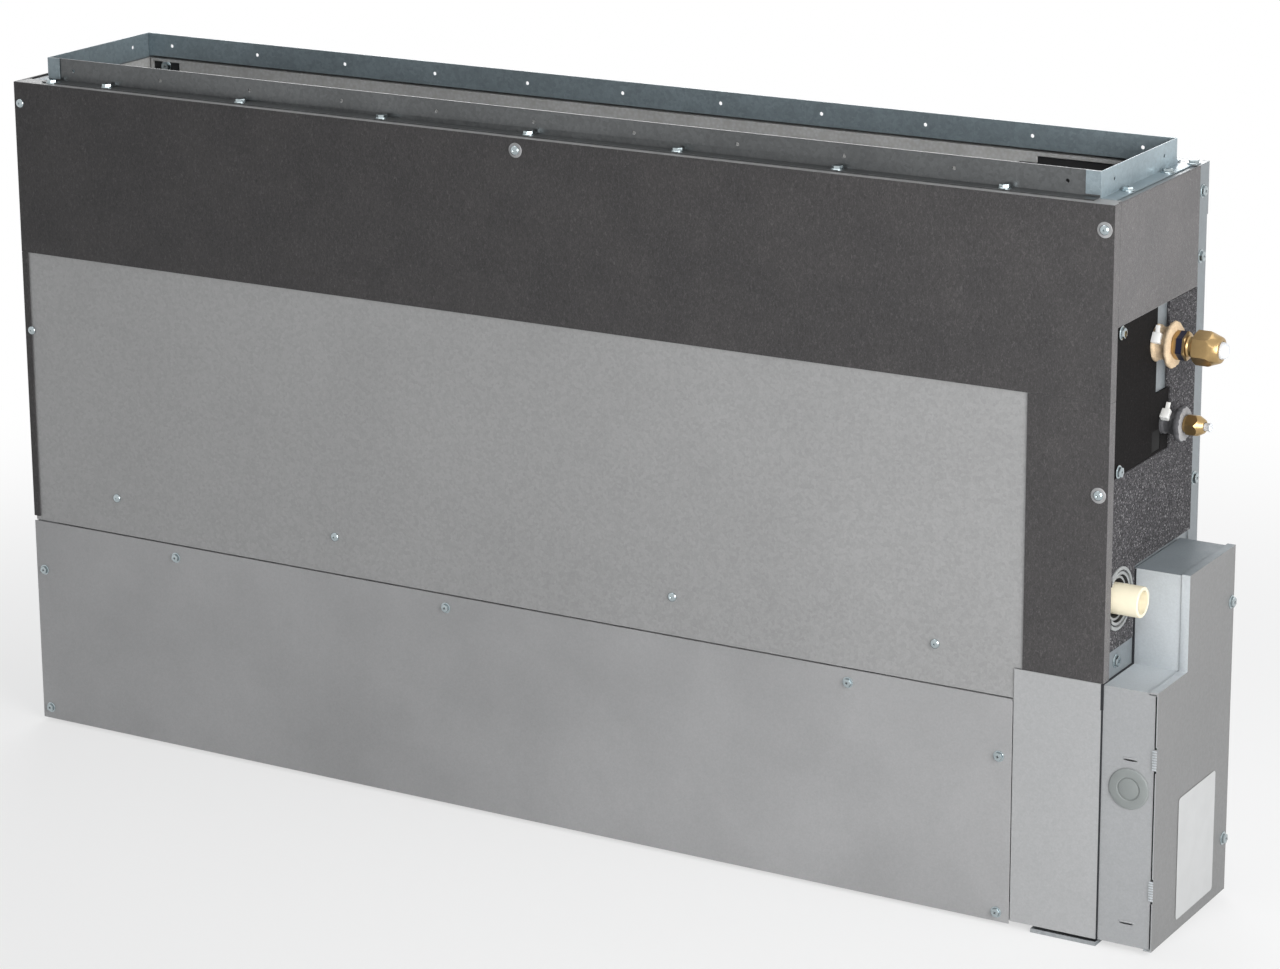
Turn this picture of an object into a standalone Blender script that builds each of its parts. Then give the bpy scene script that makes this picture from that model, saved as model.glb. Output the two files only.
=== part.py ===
# Concealed floor-standing indoor unit of an air conditioner, bare chassis.
# Metres. Lengths are measured from the casing's front left bottom corner: x to the right as seen from
# the front, y to the rear, z up. CASE_ORIGIN then puts the middle of the footprint on the world origin.

import bpy
import bmesh
from math import cos, exp, log, pi, radians, sin, tan
from mathutils import Matrix, Vector

for old_object in list(bpy.data.objects):
    bpy.data.objects.remove(old_object, do_unlink=True)


# Driving dimensions
# Casing
CASE_W = 1.1405
CASE_D = 0.200
CASE_H = 0.6415
SHEET = 0.0010
GAP = 0.0003
FELT = 0.0013
BOARD = 0.0026
FRONT_LAP = 0.018
FRONT_SIDE_LAP = 0.009
REAR_LAP = 0.020
SIDE_LAP = 0.024
FOOT_H = 0.004

# How far a cutter reaches past the sheet or the edge that it cuts
HOLE_REACH = 0.003
PAST = 0.010

# Front openings and panels
STRIP_W = 0.0830
LOWER_PANEL_TOP = 0.204
LOWER_PANEL_DROP = 0.0006
LOWER_PANEL_LIP = 0.011
PANEL_OVERLAP = 0.014
PANEL_CORNER_R = 0.003
STRIP_TOP = 0.232
STRIP_BOTTOM = 0.0025
STRIP_SIDE_TOP = 0.256
FELT_BAND_H = 0.1665
COLUMN_W = 0.0745
LEFT_FELT_W = 0.007
LEFT_FELT_BOTTOM = 0.209
FELT_WRAP = 0.0115

# Duct collar
COLLAR_H = 0.0225
COLLAR_FRONT_Y = 0.0198
COLLAR_REAR_INSET = 0.0226
COLLAR_LEFT_X = 0.0264
COLLAR_RIGHT_INSET = 0.0214
COLLAR_FOOT = 0.013
COLLAR_RETURN = 0.014
DUCT_HOLE_R = 0.0019
DUCT_HOLE_FIRST_X = 0.0561
DUCT_HOLE_PITCH = 0.10324
DUCT_HOLE_END_IN = 0.020
DUCT_HOLE_UP = 0.0115

# Base, feet, filter
BASE_RIM = 0.015
INTAKE_LEFT = 0.070
INTAKE_RIGHT_INSET = 0.0705
INTAKE_INSET_Y = 0.024
FILTER_CLEAR = 0.002
FILTER_H = 0.010
FILTER_BAR = 0.010
FILTER_RIB = 0.004
FILTER_RIB_COUNT = 7
MESH_T = 0.0010
MESH_INSET = 0.004
CLIP_W = 0.020
CLIP_T = 0.0008
CLIP_RISE = 0.002
CLIP_FOOT = 0.010
CLIP_SHARES = (0.12, 0.5, 0.88)
FOOT_CHANNEL_W = 0.0610
LEFT_FOOT_SETBACK = 0.040

# Fan section
FAN_Y = 0.096
FAN_Z = 0.136
FAN_CENTRE_X = 0.570
WHEEL_R = 0.070
WHEEL_INNER_R = 0.057
WHEEL_W = 0.188
BLADE_COUNT = 18
BLADE_T = 0.0012
BLADE_LEAN = radians(17)
RING_T = 0.0025
DISC_T = 0.0025
HUB_R = 0.014
HUB_W = 0.030
SHAFT_R = 0.0050
SHAFT_PAST = 0.008
SHAFT_CHAMFER = 0.001
MOTOR_R = 0.046
MOTOR_SHOULDER_R = 0.0446
MOTOR_BELL_R = 0.0396
MOTOR_W = 0.124
MOTOR_BOSS_R = 0.013
MOTOR_BOSS_W = 0.010
MOTOR_BELL_W = 0.020
MOTOR_SIDES = 20
STRAP_W = 0.034
STRAP_T = 0.0015
STRAP_FOOT = 0.018
SCROLL_GAP = 0.006
SCROLL_START = radians(62)
SCROLL_REACH = 0.094
SCROLL_W = 0.204
SCROLL_SIDE_CLEAR = 0.026
INLET_R = 0.0575
MOUTH_LIP = 0.010
DECK_Z = 0.2710
DECK_RIM = 0.012

# Coil and drain
COIL_X0 = 0.056
COIL_RIGHT_INSET = 0.074
COIL_MID_Y = 0.092
COIL_FOOT_Z = 0.33083
COIL_TOP_DROP = 0.06033
COIL_TILT = radians(22)
COIL_THICK = 0.042
TUBE_R = 0.0045
TUBE_PITCH = 0.0254
BEND_SIDES = 6
BEND_STEPS = 4
FLANGE_LIFT = 0.030
FLANGE_W = 0.090
FLANGE_IN = 0.0006
HEADER_R = 0.009
HEADER_OUT = 0.034
HEADER_END_IN = 0.057
LIQUID_ROW = 1
LINE_LEAD = 0.004
GAS_BEND_IN = 0.0170
LIQUID_BEND_IN = 0.0190
GAS_PIPE_END = 0.0217
LIQUID_PIPE_END = 0.0220
PAN_WALL = 0.006
PAN_FRONT_Y = 0.0055
PAN_REAR_Y = 0.088
PAN_RIM_Z = 0.336
PAN_STEP = 0.008
PAN_SEAT = 0.012
PAN_SLOPE = 0.004
PAN_END_GAP = 0.008
DRAIN_Y = 0.027
DRAIN_Z = 0.300
DRAIN_HOLE_R = 0.023
DRAIN_PIPE_R = 0.0134
DRAIN_PIPE_BORE_R = 0.0100
DRAIN_REACH = 0.0225
SOCKET_WALL = 0.0015
SOCKET_FLOOR = 0.0030
SOCKET_OUT = 0.0008

# Refrigerant connections: 12.7 mm gas line, 6.35 mm liquid line
GAS_Y = 0.099
GAS_DROP = 0.1365
GAS_PIPE_R = 0.00635
GAS_SLEEVE_R = 0.0150
GAS_WAIST_R = 0.0121
GAS_DISC_R = 0.0197
GAS_DISC = (0.0085, 0.0150)
GAS_NUT_FLATS = 0.026
GAS_NUT_START = 0.0300
GAS_NUT_HEX = 0.0155
GAS_NUT_LENGTH = 0.0270
GAS_FLANGE_R = 0.0125
GAS_FLANGE = (0.0153, 0.0248)
GAS_THREAD = (0.0290, 0.0470)
GAS_THREAD_R = 0.0095
GAS_BORE_R = 0.0050
GAS_PLUG_SHANK = (0.0380, 0.0475)
GAS_PLUG_BODY = 0.0490
GAS_PLUG_REACH = 0.0630
LIQUID_Y = 0.117
LIQUID_DROP = 0.2095
LIQUID_PIPE_R = 0.003175
LIQUID_SLEEVE_R = 0.0100
LIQUID_WAIST_R = 0.0086
LIQUID_DISC_R = 0.0152
LIQUID_DISC = (0.0130, 0.0180)
LIQUID_NUT_FLATS = 0.017
LIQUID_NUT_START = 0.0204
LIQUID_NUT_HEX = 0.0105
LIQUID_NUT_LENGTH = 0.0180
LIQUID_FLANGE_R = 0.0072
LIQUID_FLANGE = (0.0183, 0.0201)
LIQUID_THREAD = (0.0210, 0.0325)
LIQUID_THREAD_R = 0.00555
LIQUID_BORE_R = 0.0024
LIQUID_PLUG_SHANK = (0.0270, 0.0329)
LIQUID_PLUG_BODY = 0.0340
LIQUID_PLUG_REACH = 0.0430
SLEEVE_START = -0.012
DISC_SLOPE = 0.002
WAIST_SLOPE = 0.001
THREAD_CLEAR = 0.0004
PIPE_CLEAR = 0.00035
PLUG_CLEAR = 0.00025
NUT_CHAMFER = 0.0012
NUT_FACE_IN = 0.0031
NUT_TURNED_SHARE = 0.97
NUT_TAIL_SHARE = 0.74
NUT_THREAD_SHARE = 0.62
NECK_SHARE = 0.97
THREAD_LIP = 0.0008
TIE_W = 0.0048
TIE_T = 0.0013
TIE_LOCK = 0.0050
GAS_TIE_START = 0.0020
LIQUID_TIE_START = 0.0040
PORT_CLEAR = 0.0005
NOTCH_CLEAR = 0.0015

# Right side skins
SIDE_FELT_H = 0.1052
FOAM_SPLIT_DROP = 0.2341
FOAM_STEP_DROP = 0.1805
FOAM_UPPER_Y = 0.1203
PLATE_UPPER_Y = 0.0970
PLATE_LOWER_Y = 0.1250
PLATE_FRONT_Y = 0.0125
PLATE_T = 0.0016
BOX_MARGIN = 0.002

# Electrical box
BOX_W = 0.0495
BOX_D = 0.1622
BOX_LOW_TOP = 0.2326
BOX_SETBACK = 0.0621
BOX_TOP = 0.3176
BOX_BOTTOM = 0.0010
COVER_LIP = 0.0075
COVER_FRONT_LIP = 0.0022
PLUG_Z = 0.1436
PLUG_X_OUT = 0.0249
PLUG_R = 0.0165
PLUG_RING_R = 0.0086
PLUG_GROOVE_R = 0.0096
PLUG_STEP_R = 0.0139
PLUG_HOLE_R = 0.0140
PLUG_RIM_T = 0.0009
PLUG_DISH = 0.0004
PLUG_WALL = 0.0018
PLUG_DEPTH = 0.0045
TAB_SLOT_Z = (0.1830, 0.1630, 0.0655, 0.0460)
TAB_SLOT_H = 0.0012
TAB_SLOT_LEFT = 0.0010
LABEL_Y = (0.051, 0.1315)
LABEL_Z = (0.0116, 0.1223)

# Box contents
BLOCK_Y = (0.012, 0.028, 0.034)
BLOCK_Z = 0.030
BLOCK_DEPTH = 0.018
POLE_PITCH = 0.009
POLE_COUNT = 6
BARRIER_T = 0.0015
CIRCUIT_Y = (0.072, 0.150)
CIRCUIT_Z = (0.030, 0.290)
CIRCUIT_T = 0.0060
TRANSFORMER = ((0.080, 0.122), (0.045, 0.090), 0.030)
CAPACITOR = ((0.126, 0.144), (0.110, 0.150), 0.024)
RELAY_ROW = ((0.080, 0.110), (0.170, 0.210), 0.018)
HEAT_SINK = ((0.086, 0.140), (0.235, 0.265), 0.022)

# Liners and hanging brackets
LINER_T = 0.0200
LINER_NOTCH_DEPTH = 0.0120
LEFT_NOTCH_X = (0.0033, 0.0352)
LEFT_NOTCH_DROP = (0.0030, 0.0120)
RIGHT_NOTCH_X = (0.1423, 0.1243)
RIGHT_NOTCH_DROP = (0.0099, 0.0039, 0.0340)
LINER_BOTTOM = 0.345
LINER_LEDGE = 0.0120
LEFT_LINER_H = 0.0429
BRACKET_T = 0.0020
BRACKET_W = 0.0360
BRACKET_DROP = 0.052
BRACKET_CHAMFER = 0.006
KEYHOLE_R = 0.0060
KEYHOLE_LIFT = 0.0180
KEYHOLE_RISE = 0.018

# Screws
HEAD_H = 0.0020
HEAD_R = 0.0046
HEAD_TOP_R = 0.0037
SHANK_R = 0.0019
SHANK_CLEAR = 0.0005

# Levels worked out from the driving dimensions
# Each skin sits on the sheet under it, so the sheets step inwards from the casing's faces.
FRONT_SET = FELT + GAP
SIDE_SET = BOARD + GAP
LAP_SET = SIDE_SET - GAP - SHEET
SIDE_RIGHT = CASE_W - SIDE_SET
SIDE_TOP = CASE_H - SHEET - GAP
LOWER_PANEL_W = CASE_W - STRIP_W
WINDOW_TOP = CASE_H - FELT_BAND_H
COLUMN_X = CASE_W - COLUMN_W
COLLAR_REAR_Y = CASE_D - COLLAR_REAR_INSET
INTAKE_X = (INTAKE_LEFT, CASE_W - INTAKE_RIGHT_INSET)
INTAKE_Y = (INTAKE_INSET_Y, CASE_D - INTAKE_INSET_Y)
COLLAR_RIGHT_X = CASE_W - COLLAR_RIGHT_INSET
DUCT_HOLE_RUN = COLLAR_RIGHT_X - DUCT_HOLE_END_IN - DUCT_HOLE_FIRST_X
DUCT_HOLE_COUNT = int(DUCT_HOLE_RUN / DUCT_HOLE_PITCH) + 1
COIL_X1 = CASE_W - COIL_RIGHT_INSET
COIL_TOP_Z = CASE_H - COIL_TOP_DROP
COIL_MID_Z = (COIL_TOP_Z + COIL_FOOT_Z) / 2
COIL_LENGTH = (COIL_TOP_Z - COIL_FOOT_Z) / cos(COIL_TILT)
TUBE_ROWS = int(COIL_LENGTH / TUBE_PITCH)
HEADER_HALF = COIL_LENGTH / 2 - HEADER_END_IN
GAS_Z = CASE_H - GAS_DROP
LIQUID_Z = CASE_H - LIQUID_DROP
SIDE_FELT_BOTTOM = CASE_H - SIDE_FELT_H
FOAM_SPLIT_Z = CASE_H - FOAM_SPLIT_DROP
FOAM_STEP_Z = CASE_H - FOAM_STEP_DROP
BOX_INNER = CASE_W - LAP_SET + GAP
BOX_OUTER = CASE_W + BOX_W
SCREW_HOLE_R = SHANK_R + SHANK_CLEAR
CASE_ORIGIN = Vector((
    -(CASE_W + GAS_PLUG_REACH) / 2,
    -(CASE_D + GAP + BRACKET_T) / 2,
    FOOT_H,
))


# Materials
def material(name, colour, roughness, metallic):
    """A Principled material of one plain finish."""
    made = bpy.data.materials.new(name)
    made.use_nodes = True
    shader = made.node_tree.nodes["Principled BSDF"]
    shader.inputs["Base Color"].default_value = (*colour, 1.0)
    shader.inputs["Roughness"].default_value = roughness
    shader.inputs["Metallic"].default_value = metallic
    return made


GALVANISED = material("galvanised_sheet", (0.52, 0.55, 0.57), 0.38, 0.9)
FELT_GREY = material("felt_dark_grey", (0.085, 0.078, 0.075), 0.95, 0.0)
FOAM_GREY = material("foam_speckled", (0.070, 0.068, 0.070), 0.95, 0.0)
PLATE_BLACK = material("foam_faced_black", (0.020, 0.018, 0.018), 0.9, 0.0)
FOAM_WHITE = material("liner_white", (0.78, 0.77, 0.73), 0.85, 0.0)
FOAM_BEIGE = material("sleeve_beige", (0.72, 0.55, 0.36), 0.85, 0.0)
SLEEVE_GREY = material("sleeve_grey", (0.30, 0.31, 0.33), 0.85, 0.0)
PVC_CREAM = material("pipe_cream", (0.82, 0.76, 0.60), 0.4, 0.0)
PLASTIC_WHITE = material("plastic_white", (0.86, 0.87, 0.88), 0.45, 0.0)
PLASTIC_GREY = material("plastic_grey", (0.42, 0.44, 0.43), 0.5, 0.0)
PLASTIC_BLACK = material("plastic_black", (0.03, 0.03, 0.03), 0.5, 0.0)
BRASS = material("brass", (0.62, 0.42, 0.14), 0.3, 1.0)
COPPER = material("copper", (0.72, 0.36, 0.22), 0.35, 1.0)
FIN_ALUMINIUM = material("fin_aluminium", (0.62, 0.66, 0.70), 0.35, 0.9)
STEEL = material("shaft_steel", (0.45, 0.45, 0.46), 0.3, 1.0)
ZINC = material("zinc_screw", (0.66, 0.72, 0.74), 0.3, 1.0)
BOARD_GREEN = material("circuit_board", (0.03, 0.18, 0.08), 0.5, 0.0)


# Modelling helpers
# Every shape is drawn in casing coordinates, and an object keeps its pivot as its own origin.
AXES = {"X": Vector((1, 0, 0)), "Y": Vector((0, 1, 0)), "Z": Vector((0, 0, 1))}


def in_plane(axis, along, first, second):
    """The point at a place along one axis and at two places on the other axes, in X, Y, Z order."""
    if axis == "X":
        return Vector((along, first, second))
    if axis == "Y":
        return Vector((first, along, second))
    return Vector((first, second, along))


def slab(shape, low, high):
    """A straight block between two corners."""
    middle = (Vector(low) + Vector(high)) / 2
    size = Vector(high) - Vector(low)
    place = Matrix.Translation(middle) @ Matrix.Diagonal((*size, 1.0))
    bmesh.ops.create_cube(shape, size=1.0, matrix=place)


def prism(shape, outline, axis, start, end):
    """An outline in the plane across an axis, extruded along that axis from start to end."""
    ring = [shape.verts.new(in_plane(axis, start, first, second)) for first, second in outline]
    cap = shape.faces.new(ring)
    grown = bmesh.ops.extrude_face_region(shape, geom=[cap], use_keep_orig=True)
    top = [item for item in grown["geom"] if isinstance(item, bmesh.types.BMVert)]
    bmesh.ops.translate(shape, verts=top, vec=AXES[axis] * (end - start))


def turned(shape, profile, centre, axis="X", sides=16, ring=False):
    """A profile of (place along the axis, radius) points, spun once about the axis through centre."""
    out = AXES["Z"] if axis != "Z" else AXES["X"]
    points = [Vector(centre) + AXES[axis] * along + out * radius for along, radius in profile]
    verts = [shape.verts.new(point) for point in points]
    edges = [shape.edges.new(pair) for pair in zip(verts, verts[1:])]
    if ring:
        edges.append(shape.edges.new((verts[-1], verts[0])))
    bmesh.ops.spin(
        shape, geom=verts + edges, cent=Vector(centre), axis=AXES[axis],
        angle=2 * pi, steps=sides, use_merge=True, use_duplicate=False,
    )
    bmesh.ops.remove_doubles(shape, verts=shape.verts, dist=1e-7)


def tray(shape, low, high, open_side, wall):
    """A block hollowed from one side, as a sheet folded up along its four edges."""
    slab(shape, low, high)
    shape.normal_update()
    face = max(shape.faces, key=lambda item: item.normal.dot(open_side))
    hollow(shape, face, open_side, (Vector(high) - Vector(low)).dot(open_side), wall)


def hollow(shape, face, open_side, depth, wall):
    """Insets one face by the wall and pushes it inwards, down to the far wall."""
    bmesh.ops.inset_individual(shape, faces=[face], thickness=wall, use_even_offset=True)
    pushed = bmesh.ops.extrude_discrete_faces(shape, faces=[face])["faces"][0]
    bmesh.ops.translate(shape, verts=pushed.verts, vec=-Vector(open_side) * (abs(depth) - wall))


def folded(path, thickness):
    """The outline of a strip that is folded along a path, with its thickness on the path's left."""
    points = [Vector(point) for point in path]
    inner = []
    for index, point in enumerate(points):
        before = (point - points[index - 1]).normalized() if index else None
        after = (points[index + 1] - point).normalized() if index + 1 < len(points) else None
        ahead = ((before or after) + (after or before)).normalized()
        left = Vector((-ahead.y, ahead.x))
        reach = thickness / max(left.dot(Vector((-(after or before).y, (after or before).x))), 0.2)
        inner.append(point + left * reach)
    return [tuple(point) for point in points] + [tuple(point) for point in reversed(inner)]


def arc(centre, radius, start, end, steps):
    """Points along a round stretch of an outline."""
    turns = [start + (end - start) * step / steps for step in range(steps + 1)]
    return [(centre[0] + radius * cos(turn), centre[1] + radius * sin(turn)) for turn in turns]


def add_object(name, shape, finish, pivot=(0, 0, 0), carrier=None, round_shape=False):
    """Turns a finished shape into a named object whose origin is its pivot."""
    bmesh.ops.recalc_face_normals(shape, faces=shape.faces)
    bmesh.ops.translate(shape, verts=shape.verts, vec=-Vector(pivot))
    mesh = bpy.data.meshes.new(name)
    shape.to_mesh(mesh)
    shape.free()
    if round_shape:
        mesh.shade_smooth()
        mesh.set_sharp_from_angle(angle=radians(35))
    mesh.materials.append(finish)
    made = bpy.data.objects.new(name, mesh)
    bpy.context.scene.collection.objects.link(made)
    place(made, pivot, carrier)
    return made


def place(made, pivot, carrier=None):
    """Sets an object at its pivot, under the piece or empty that carries it."""
    made.location = CASE_ORIGIN + Vector(pivot)
    if carrier:
        made.location -= carrier.location
        made.parent = carrier


def shape_with(target, tool_shape, operation, label):
    """Cuts or joins a helper shape, which stays out of the model itself."""
    tool = add_object(target.name + label, tool_shape, GALVANISED)
    tool.hide_render = True
    tool.display_type = "WIRE"
    change = target.modifiers.new(label.strip("_"), "BOOLEAN")
    change.operation = operation
    change.solver = "EXACT"
    change.object = tool


def cut(target, tool_shape, label="_cut"):
    shape_with(target, tool_shape, "DIFFERENCE", label)


def join(target, tool_shape, label="_join"):
    shape_with(target, tool_shape, "UNION", label)


def rod(shape, spot, radius, reach, axis="X", sides=24):
    """A round bar that reaches equally far both ways from its middle."""
    turned(shape, [(-reach, 0), (-reach, radius), (reach, radius), (reach, 0)], spot, axis, sides)


def drill(target, places, axis, radius, reach=HOLE_REACH, sides=6, label="_holes"):
    """Round holes through a sheet, each reaching both ways past its place."""
    shape = bmesh.new()
    for spot in places:
        rod(shape, spot, radius, reach, axis, sides)
    cut(target, shape, label)


def pipe(name, points, radius, finish, resolution=2):
    """A tube swept along a line of points, with closed ends."""
    curve = bpy.data.curves.new(name, "CURVE")
    curve.dimensions = "3D"
    curve.bevel_depth = radius
    curve.bevel_resolution = resolution
    curve.use_fill_caps = True
    spline = curve.splines.new("POLY")
    spline.points.add(len(points) - 1)
    for knot, point in zip(spline.points, points):
        knot.co = (*point, 1.0)
    curve.materials.append(finish)
    made = bpy.data.objects.new(name, curve)
    bpy.context.scene.collection.objects.link(made)
    place(made, (0, 0, 0))


def swept(shape, line, ahead, flat, radius, sides):
    """A round bar through the points of a line that lies in one plane, whose normal is flat."""
    rings = []
    for spot, way in zip(line, ahead):
        up = Vector(way).normalized().cross(flat)
        ring = []
        for side in range(sides):
            turn = 2 * pi * side / sides
            ring.append(shape.verts.new(Vector(spot) + (flat * cos(turn) + up * sin(turn)) * radius))
        rings.append(ring)
    for near, far in zip(rings, rings[1:]):
        for side in range(sides):
            following = (side + 1) % sides
            shape.faces.new((near[side], near[following], far[following], far[side]))
    shape.faces.new(list(reversed(rings[0])))
    shape.faces.new(rings[-1])


def rounded(corners, radius, steps=4):
    """A polyline through corners whose bends are round."""
    spots = [Vector(corner) for corner in corners]
    line = [spots[0]]
    for before, corner, after in zip(spots, spots[1:], spots[2:]):
        back = (before - corner).normalized()
        onward = (after - corner).normalized()
        half = back.angle(onward) / 2
        middle = corner + (back + onward).normalized() * (radius / sin(half))
        first = (corner + back * (radius / tan(half)) - middle).normalized()
        last = (corner + onward * (radius / tan(half)) - middle).normalized()
        for step in range(steps + 1):
            line.append(middle + first.slerp(last, step / steps) * radius)
    line.append(spots[-1])
    return line


# Screw places
# The sheets are drilled where the tapping screws stand. Each place is on the face under the head.
LOWER_FACE_Y = FRONT_SET - GAP - SHEET
LOWER_TOP_LEFT_SCREWS = [0.1724, 0.4826]
LOWER_TOP_RIGHT_SCREW_INSET = 0.2403
LOWER_LEFT_SCREWS = [0.1543, 0.0108]
LOWER_RIGHT_SCREWS = [0.1508, 0.0080]
LOWER_SCREW_INSET = 0.0120
LOWER_LEFT_SCREW_INSET = 0.0096
lower_top_screws = LOWER_TOP_LEFT_SCREWS + [CASE_W - LOWER_TOP_RIGHT_SCREW_INSET]
lower_screw_places = (
    [(x, LOWER_FACE_Y, LOWER_PANEL_TOP - LOWER_SCREW_INSET) for x in lower_top_screws]
    + [(LOWER_LEFT_SCREW_INSET, LOWER_FACE_Y, z) for z in LOWER_LEFT_SCREWS]
    + [(LOWER_PANEL_W - LOWER_SCREW_INSET, LOWER_FACE_Y, z) for z in LOWER_RIGHT_SCREWS]
)
WINDOW_LEFT_SCREWS = [0.1024, 0.3588]
WINDOW_RIGHT_SCREW_INSETS = [0.4172, 0.1574]
WINDOW_SCREW_Z = 0.241
window_screw_x = WINDOW_LEFT_SCREWS + [CASE_W - inset for inset in WINDOW_RIGHT_SCREW_INSETS]
window_screw_places = [(x, FRONT_SET, WINDOW_SCREW_Z) for x in window_screw_x]
REAR_SCREW_INSET = 0.0120
REAR_SCREW_DROPS = (0.0235, 0.0805, 0.2780)
rear_flange_y = CASE_D - REAR_SCREW_INSET
rear_flange_screws = [(CASE_W - LAP_SET, rear_flange_y, CASE_H - drop) for drop in REAR_SCREW_DROPS]
CORNER_SCREW_Y = 0.0276
CORNER_SCREW_DROP = 0.0116
corner_screw = [(CASE_W - LAP_SET, CORNER_SCREW_Y, STRIP_SIDE_TOP - CORNER_SCREW_DROP)]
FELT_SCREW_INSET = 0.0068
FELT_SCREW_DROPS = (0.0205, 0.2445)
top_left_felt_screw = [(FELT_SCREW_INSET, 0, CASE_H - FELT_SCREW_DROPS[0])]
left_felt_screws = [(FELT_SCREW_INSET, 0, CASE_H - FELT_SCREW_DROPS[1])]
MIDDLE_WASHER = (0.566, 0.0110)
WASHER_INSET = 0.0087
WASHER_DROPS = (0.0210, 0.2460)
middle_washer = (MIDDLE_WASHER[0], 0, CASE_H - MIDDLE_WASHER[1])
upper_washer_places = [middle_washer, (CASE_W - WASHER_INSET, 0, CASE_H - WASHER_DROPS[0])]
column_washer_places = [(CASE_W - WASHER_INSET, 0, CASE_H - WASHER_DROPS[1])]


# Casing sheets
# The rear panel is a tray that opens forwards, with a flange folded along each edge.
def rear_panel():
    shape = bmesh.new()
    low = (LAP_SET, CASE_D - REAR_LAP, 0)
    high = (CASE_W - LAP_SET, CASE_D, CASE_H)
    tray(shape, low, high, Vector((0, -1, 0)), SHEET)
    panel = add_object("rear_panel", shape, GALVANISED)
    drill(panel, rear_flange_screws, "X", SCREW_HOLE_R)


# Side panels are trays that open inwards and stand inside the front and rear flanges.
def side_panel(name, outer_x, inward):
    shape = bmesh.new()
    inner_x = outer_x + inward * SIDE_LAP
    low = (min(outer_x, inner_x), FRONT_SET + SHEET + GAP, SHEET + GAP)
    high = (max(outer_x, inner_x), CASE_D - SHEET - GAP, SIDE_TOP)
    tray(shape, low, high, Vector((inward, 0, 0)), SHEET)
    return add_object(name, shape, GALVANISED)


def side_panels():
    side_panel("left_side_panel", SIDE_SET, 1)
    right = side_panel("right_side_panel", SIDE_RIGHT, -1)
    ports = bmesh.new()
    for y, z, radius in (
        (DRAIN_Y, DRAIN_Z, DRAIN_HOLE_R),
        (GAS_Y, GAS_Z, GAS_SLEEVE_R + PORT_CLEAR),
        (LIQUID_Y, LIQUID_Z, LIQUID_SLEEVE_R + PORT_CLEAR),
    ):
        rod(ports, (SIDE_RIGHT - SHEET / 2, y, z), radius, HOLE_REACH)
    cut(right, ports, "_ports")


# The upper front panel is a tray that opens to the rear. Its foot is left off where the bare corner
# panel stands, and its side flanges are narrower than its top flange.
def upper_front_panel():
    shape = bmesh.new()
    low = (LAP_SET, FRONT_SET, LOWER_PANEL_TOP - PANEL_OVERLAP)
    high = (CASE_W - LAP_SET, FRONT_SET + FRONT_LAP, CASE_H)
    tray(shape, low, high, Vector((0, 1, 0)), SHEET)
    panel = add_object("upper_front_panel", shape, GALVANISED)
    trim = bmesh.new()
    side_from = FRONT_SET + FRONT_SIDE_LAP
    below = low[2] - PAST
    behind_side = FRONT_SET + SHEET + GAP / 2
    corner_x = SIDE_SET + SIDE_LAP + GAP
    slab(trim, (-PAST, side_from, low[2] + 2 * SHEET), (LAP_SET + SHEET + GAP, CASE_D, CASE_H + PAST))
    slab(trim, (high[0] - SHEET - GAP, side_from, STRIP_TOP), (CASE_W + PAST, CASE_D, CASE_H + PAST))
    cut(panel, trim, "_side_trim")
    corner_trim = bmesh.new()
    slab(corner_trim, (-PAST, behind_side, below), (corner_x, CASE_D, low[2] + 2 * SHEET + GAP))
    cut(panel, corner_trim, "_corner_trim")
    foot = bmesh.new()
    slab(foot, (LOWER_PANEL_W + GAP, -PAST, below), (CASE_W + PAST, CASE_D, STRIP_TOP + GAP))
    cut(panel, foot, "_foot_trim")
    drill(panel, window_screw_places, "Y", SCREW_HOLE_R)


# The lower access panel laps over the upper one. It has a lip at the bottom and one on the left, and
# its free upper corner is round.
def lower_front_panel():
    shape = bmesh.new()
    bottom = -LOWER_PANEL_DROP
    corner = (LOWER_PANEL_W - PANEL_CORNER_R, LOWER_PANEL_TOP - PANEL_CORNER_R)
    outline = [(0, bottom), (LOWER_PANEL_W, bottom)]
    outline += arc(corner, PANEL_CORNER_R, 0, pi / 2, 4)
    outline += [(0, LOWER_PANEL_TOP)]
    prism(shape, outline, "Y", LOWER_FACE_Y, LOWER_FACE_Y + SHEET)
    panel = add_object("lower_front_panel", shape, GALVANISED)
    lip = bmesh.new()
    inside = LOWER_FACE_Y + SHEET / 2
    lip_end = LOWER_FACE_Y + LOWER_PANEL_LIP
    slab(lip, (0, inside, bottom), (LOWER_PANEL_W - PANEL_CORNER_R, lip_end, bottom + SHEET))
    join(panel, lip, "_bottom_lip")
    side_lip = bmesh.new()
    slab(side_lip, (0, inside, bottom), (SHEET, lip_end, LOWER_PANEL_TOP - PANEL_OVERLAP - GAP))
    join(panel, side_lip, "_side_lip")
    drill(panel, lower_screw_places, "Y", SCREW_HOLE_R)


# The corner panel is an angle: its front leg fills the foot of the right column, and its taller side
# leg closes the casing behind the electrical box.
def right_corner_panel():
    shape = bmesh.new()
    outer_x = CASE_W - LAP_SET
    path = [
        (LOWER_PANEL_W + GAP, LOWER_FACE_Y),
        (outer_x, LOWER_FACE_Y),
        (outer_x, CASE_D - REAR_LAP - GAP),
    ]
    prism(shape, folded(path, SHEET), "Z", STRIP_BOTTOM, STRIP_SIDE_TOP)
    panel = add_object("right_corner_panel", shape, GALVANISED)
    trim = bmesh.new()
    top_corner = (CASE_W + PAST, FELT_WRAP + GAP, STRIP_SIDE_TOP + PAST)
    slab(trim, (LOWER_PANEL_W - PAST, -PAST, STRIP_TOP), top_corner)
    cut(panel, trim, "_top_trim")
    drill(panel, corner_screw, "X", SCREW_HOLE_R)


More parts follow.
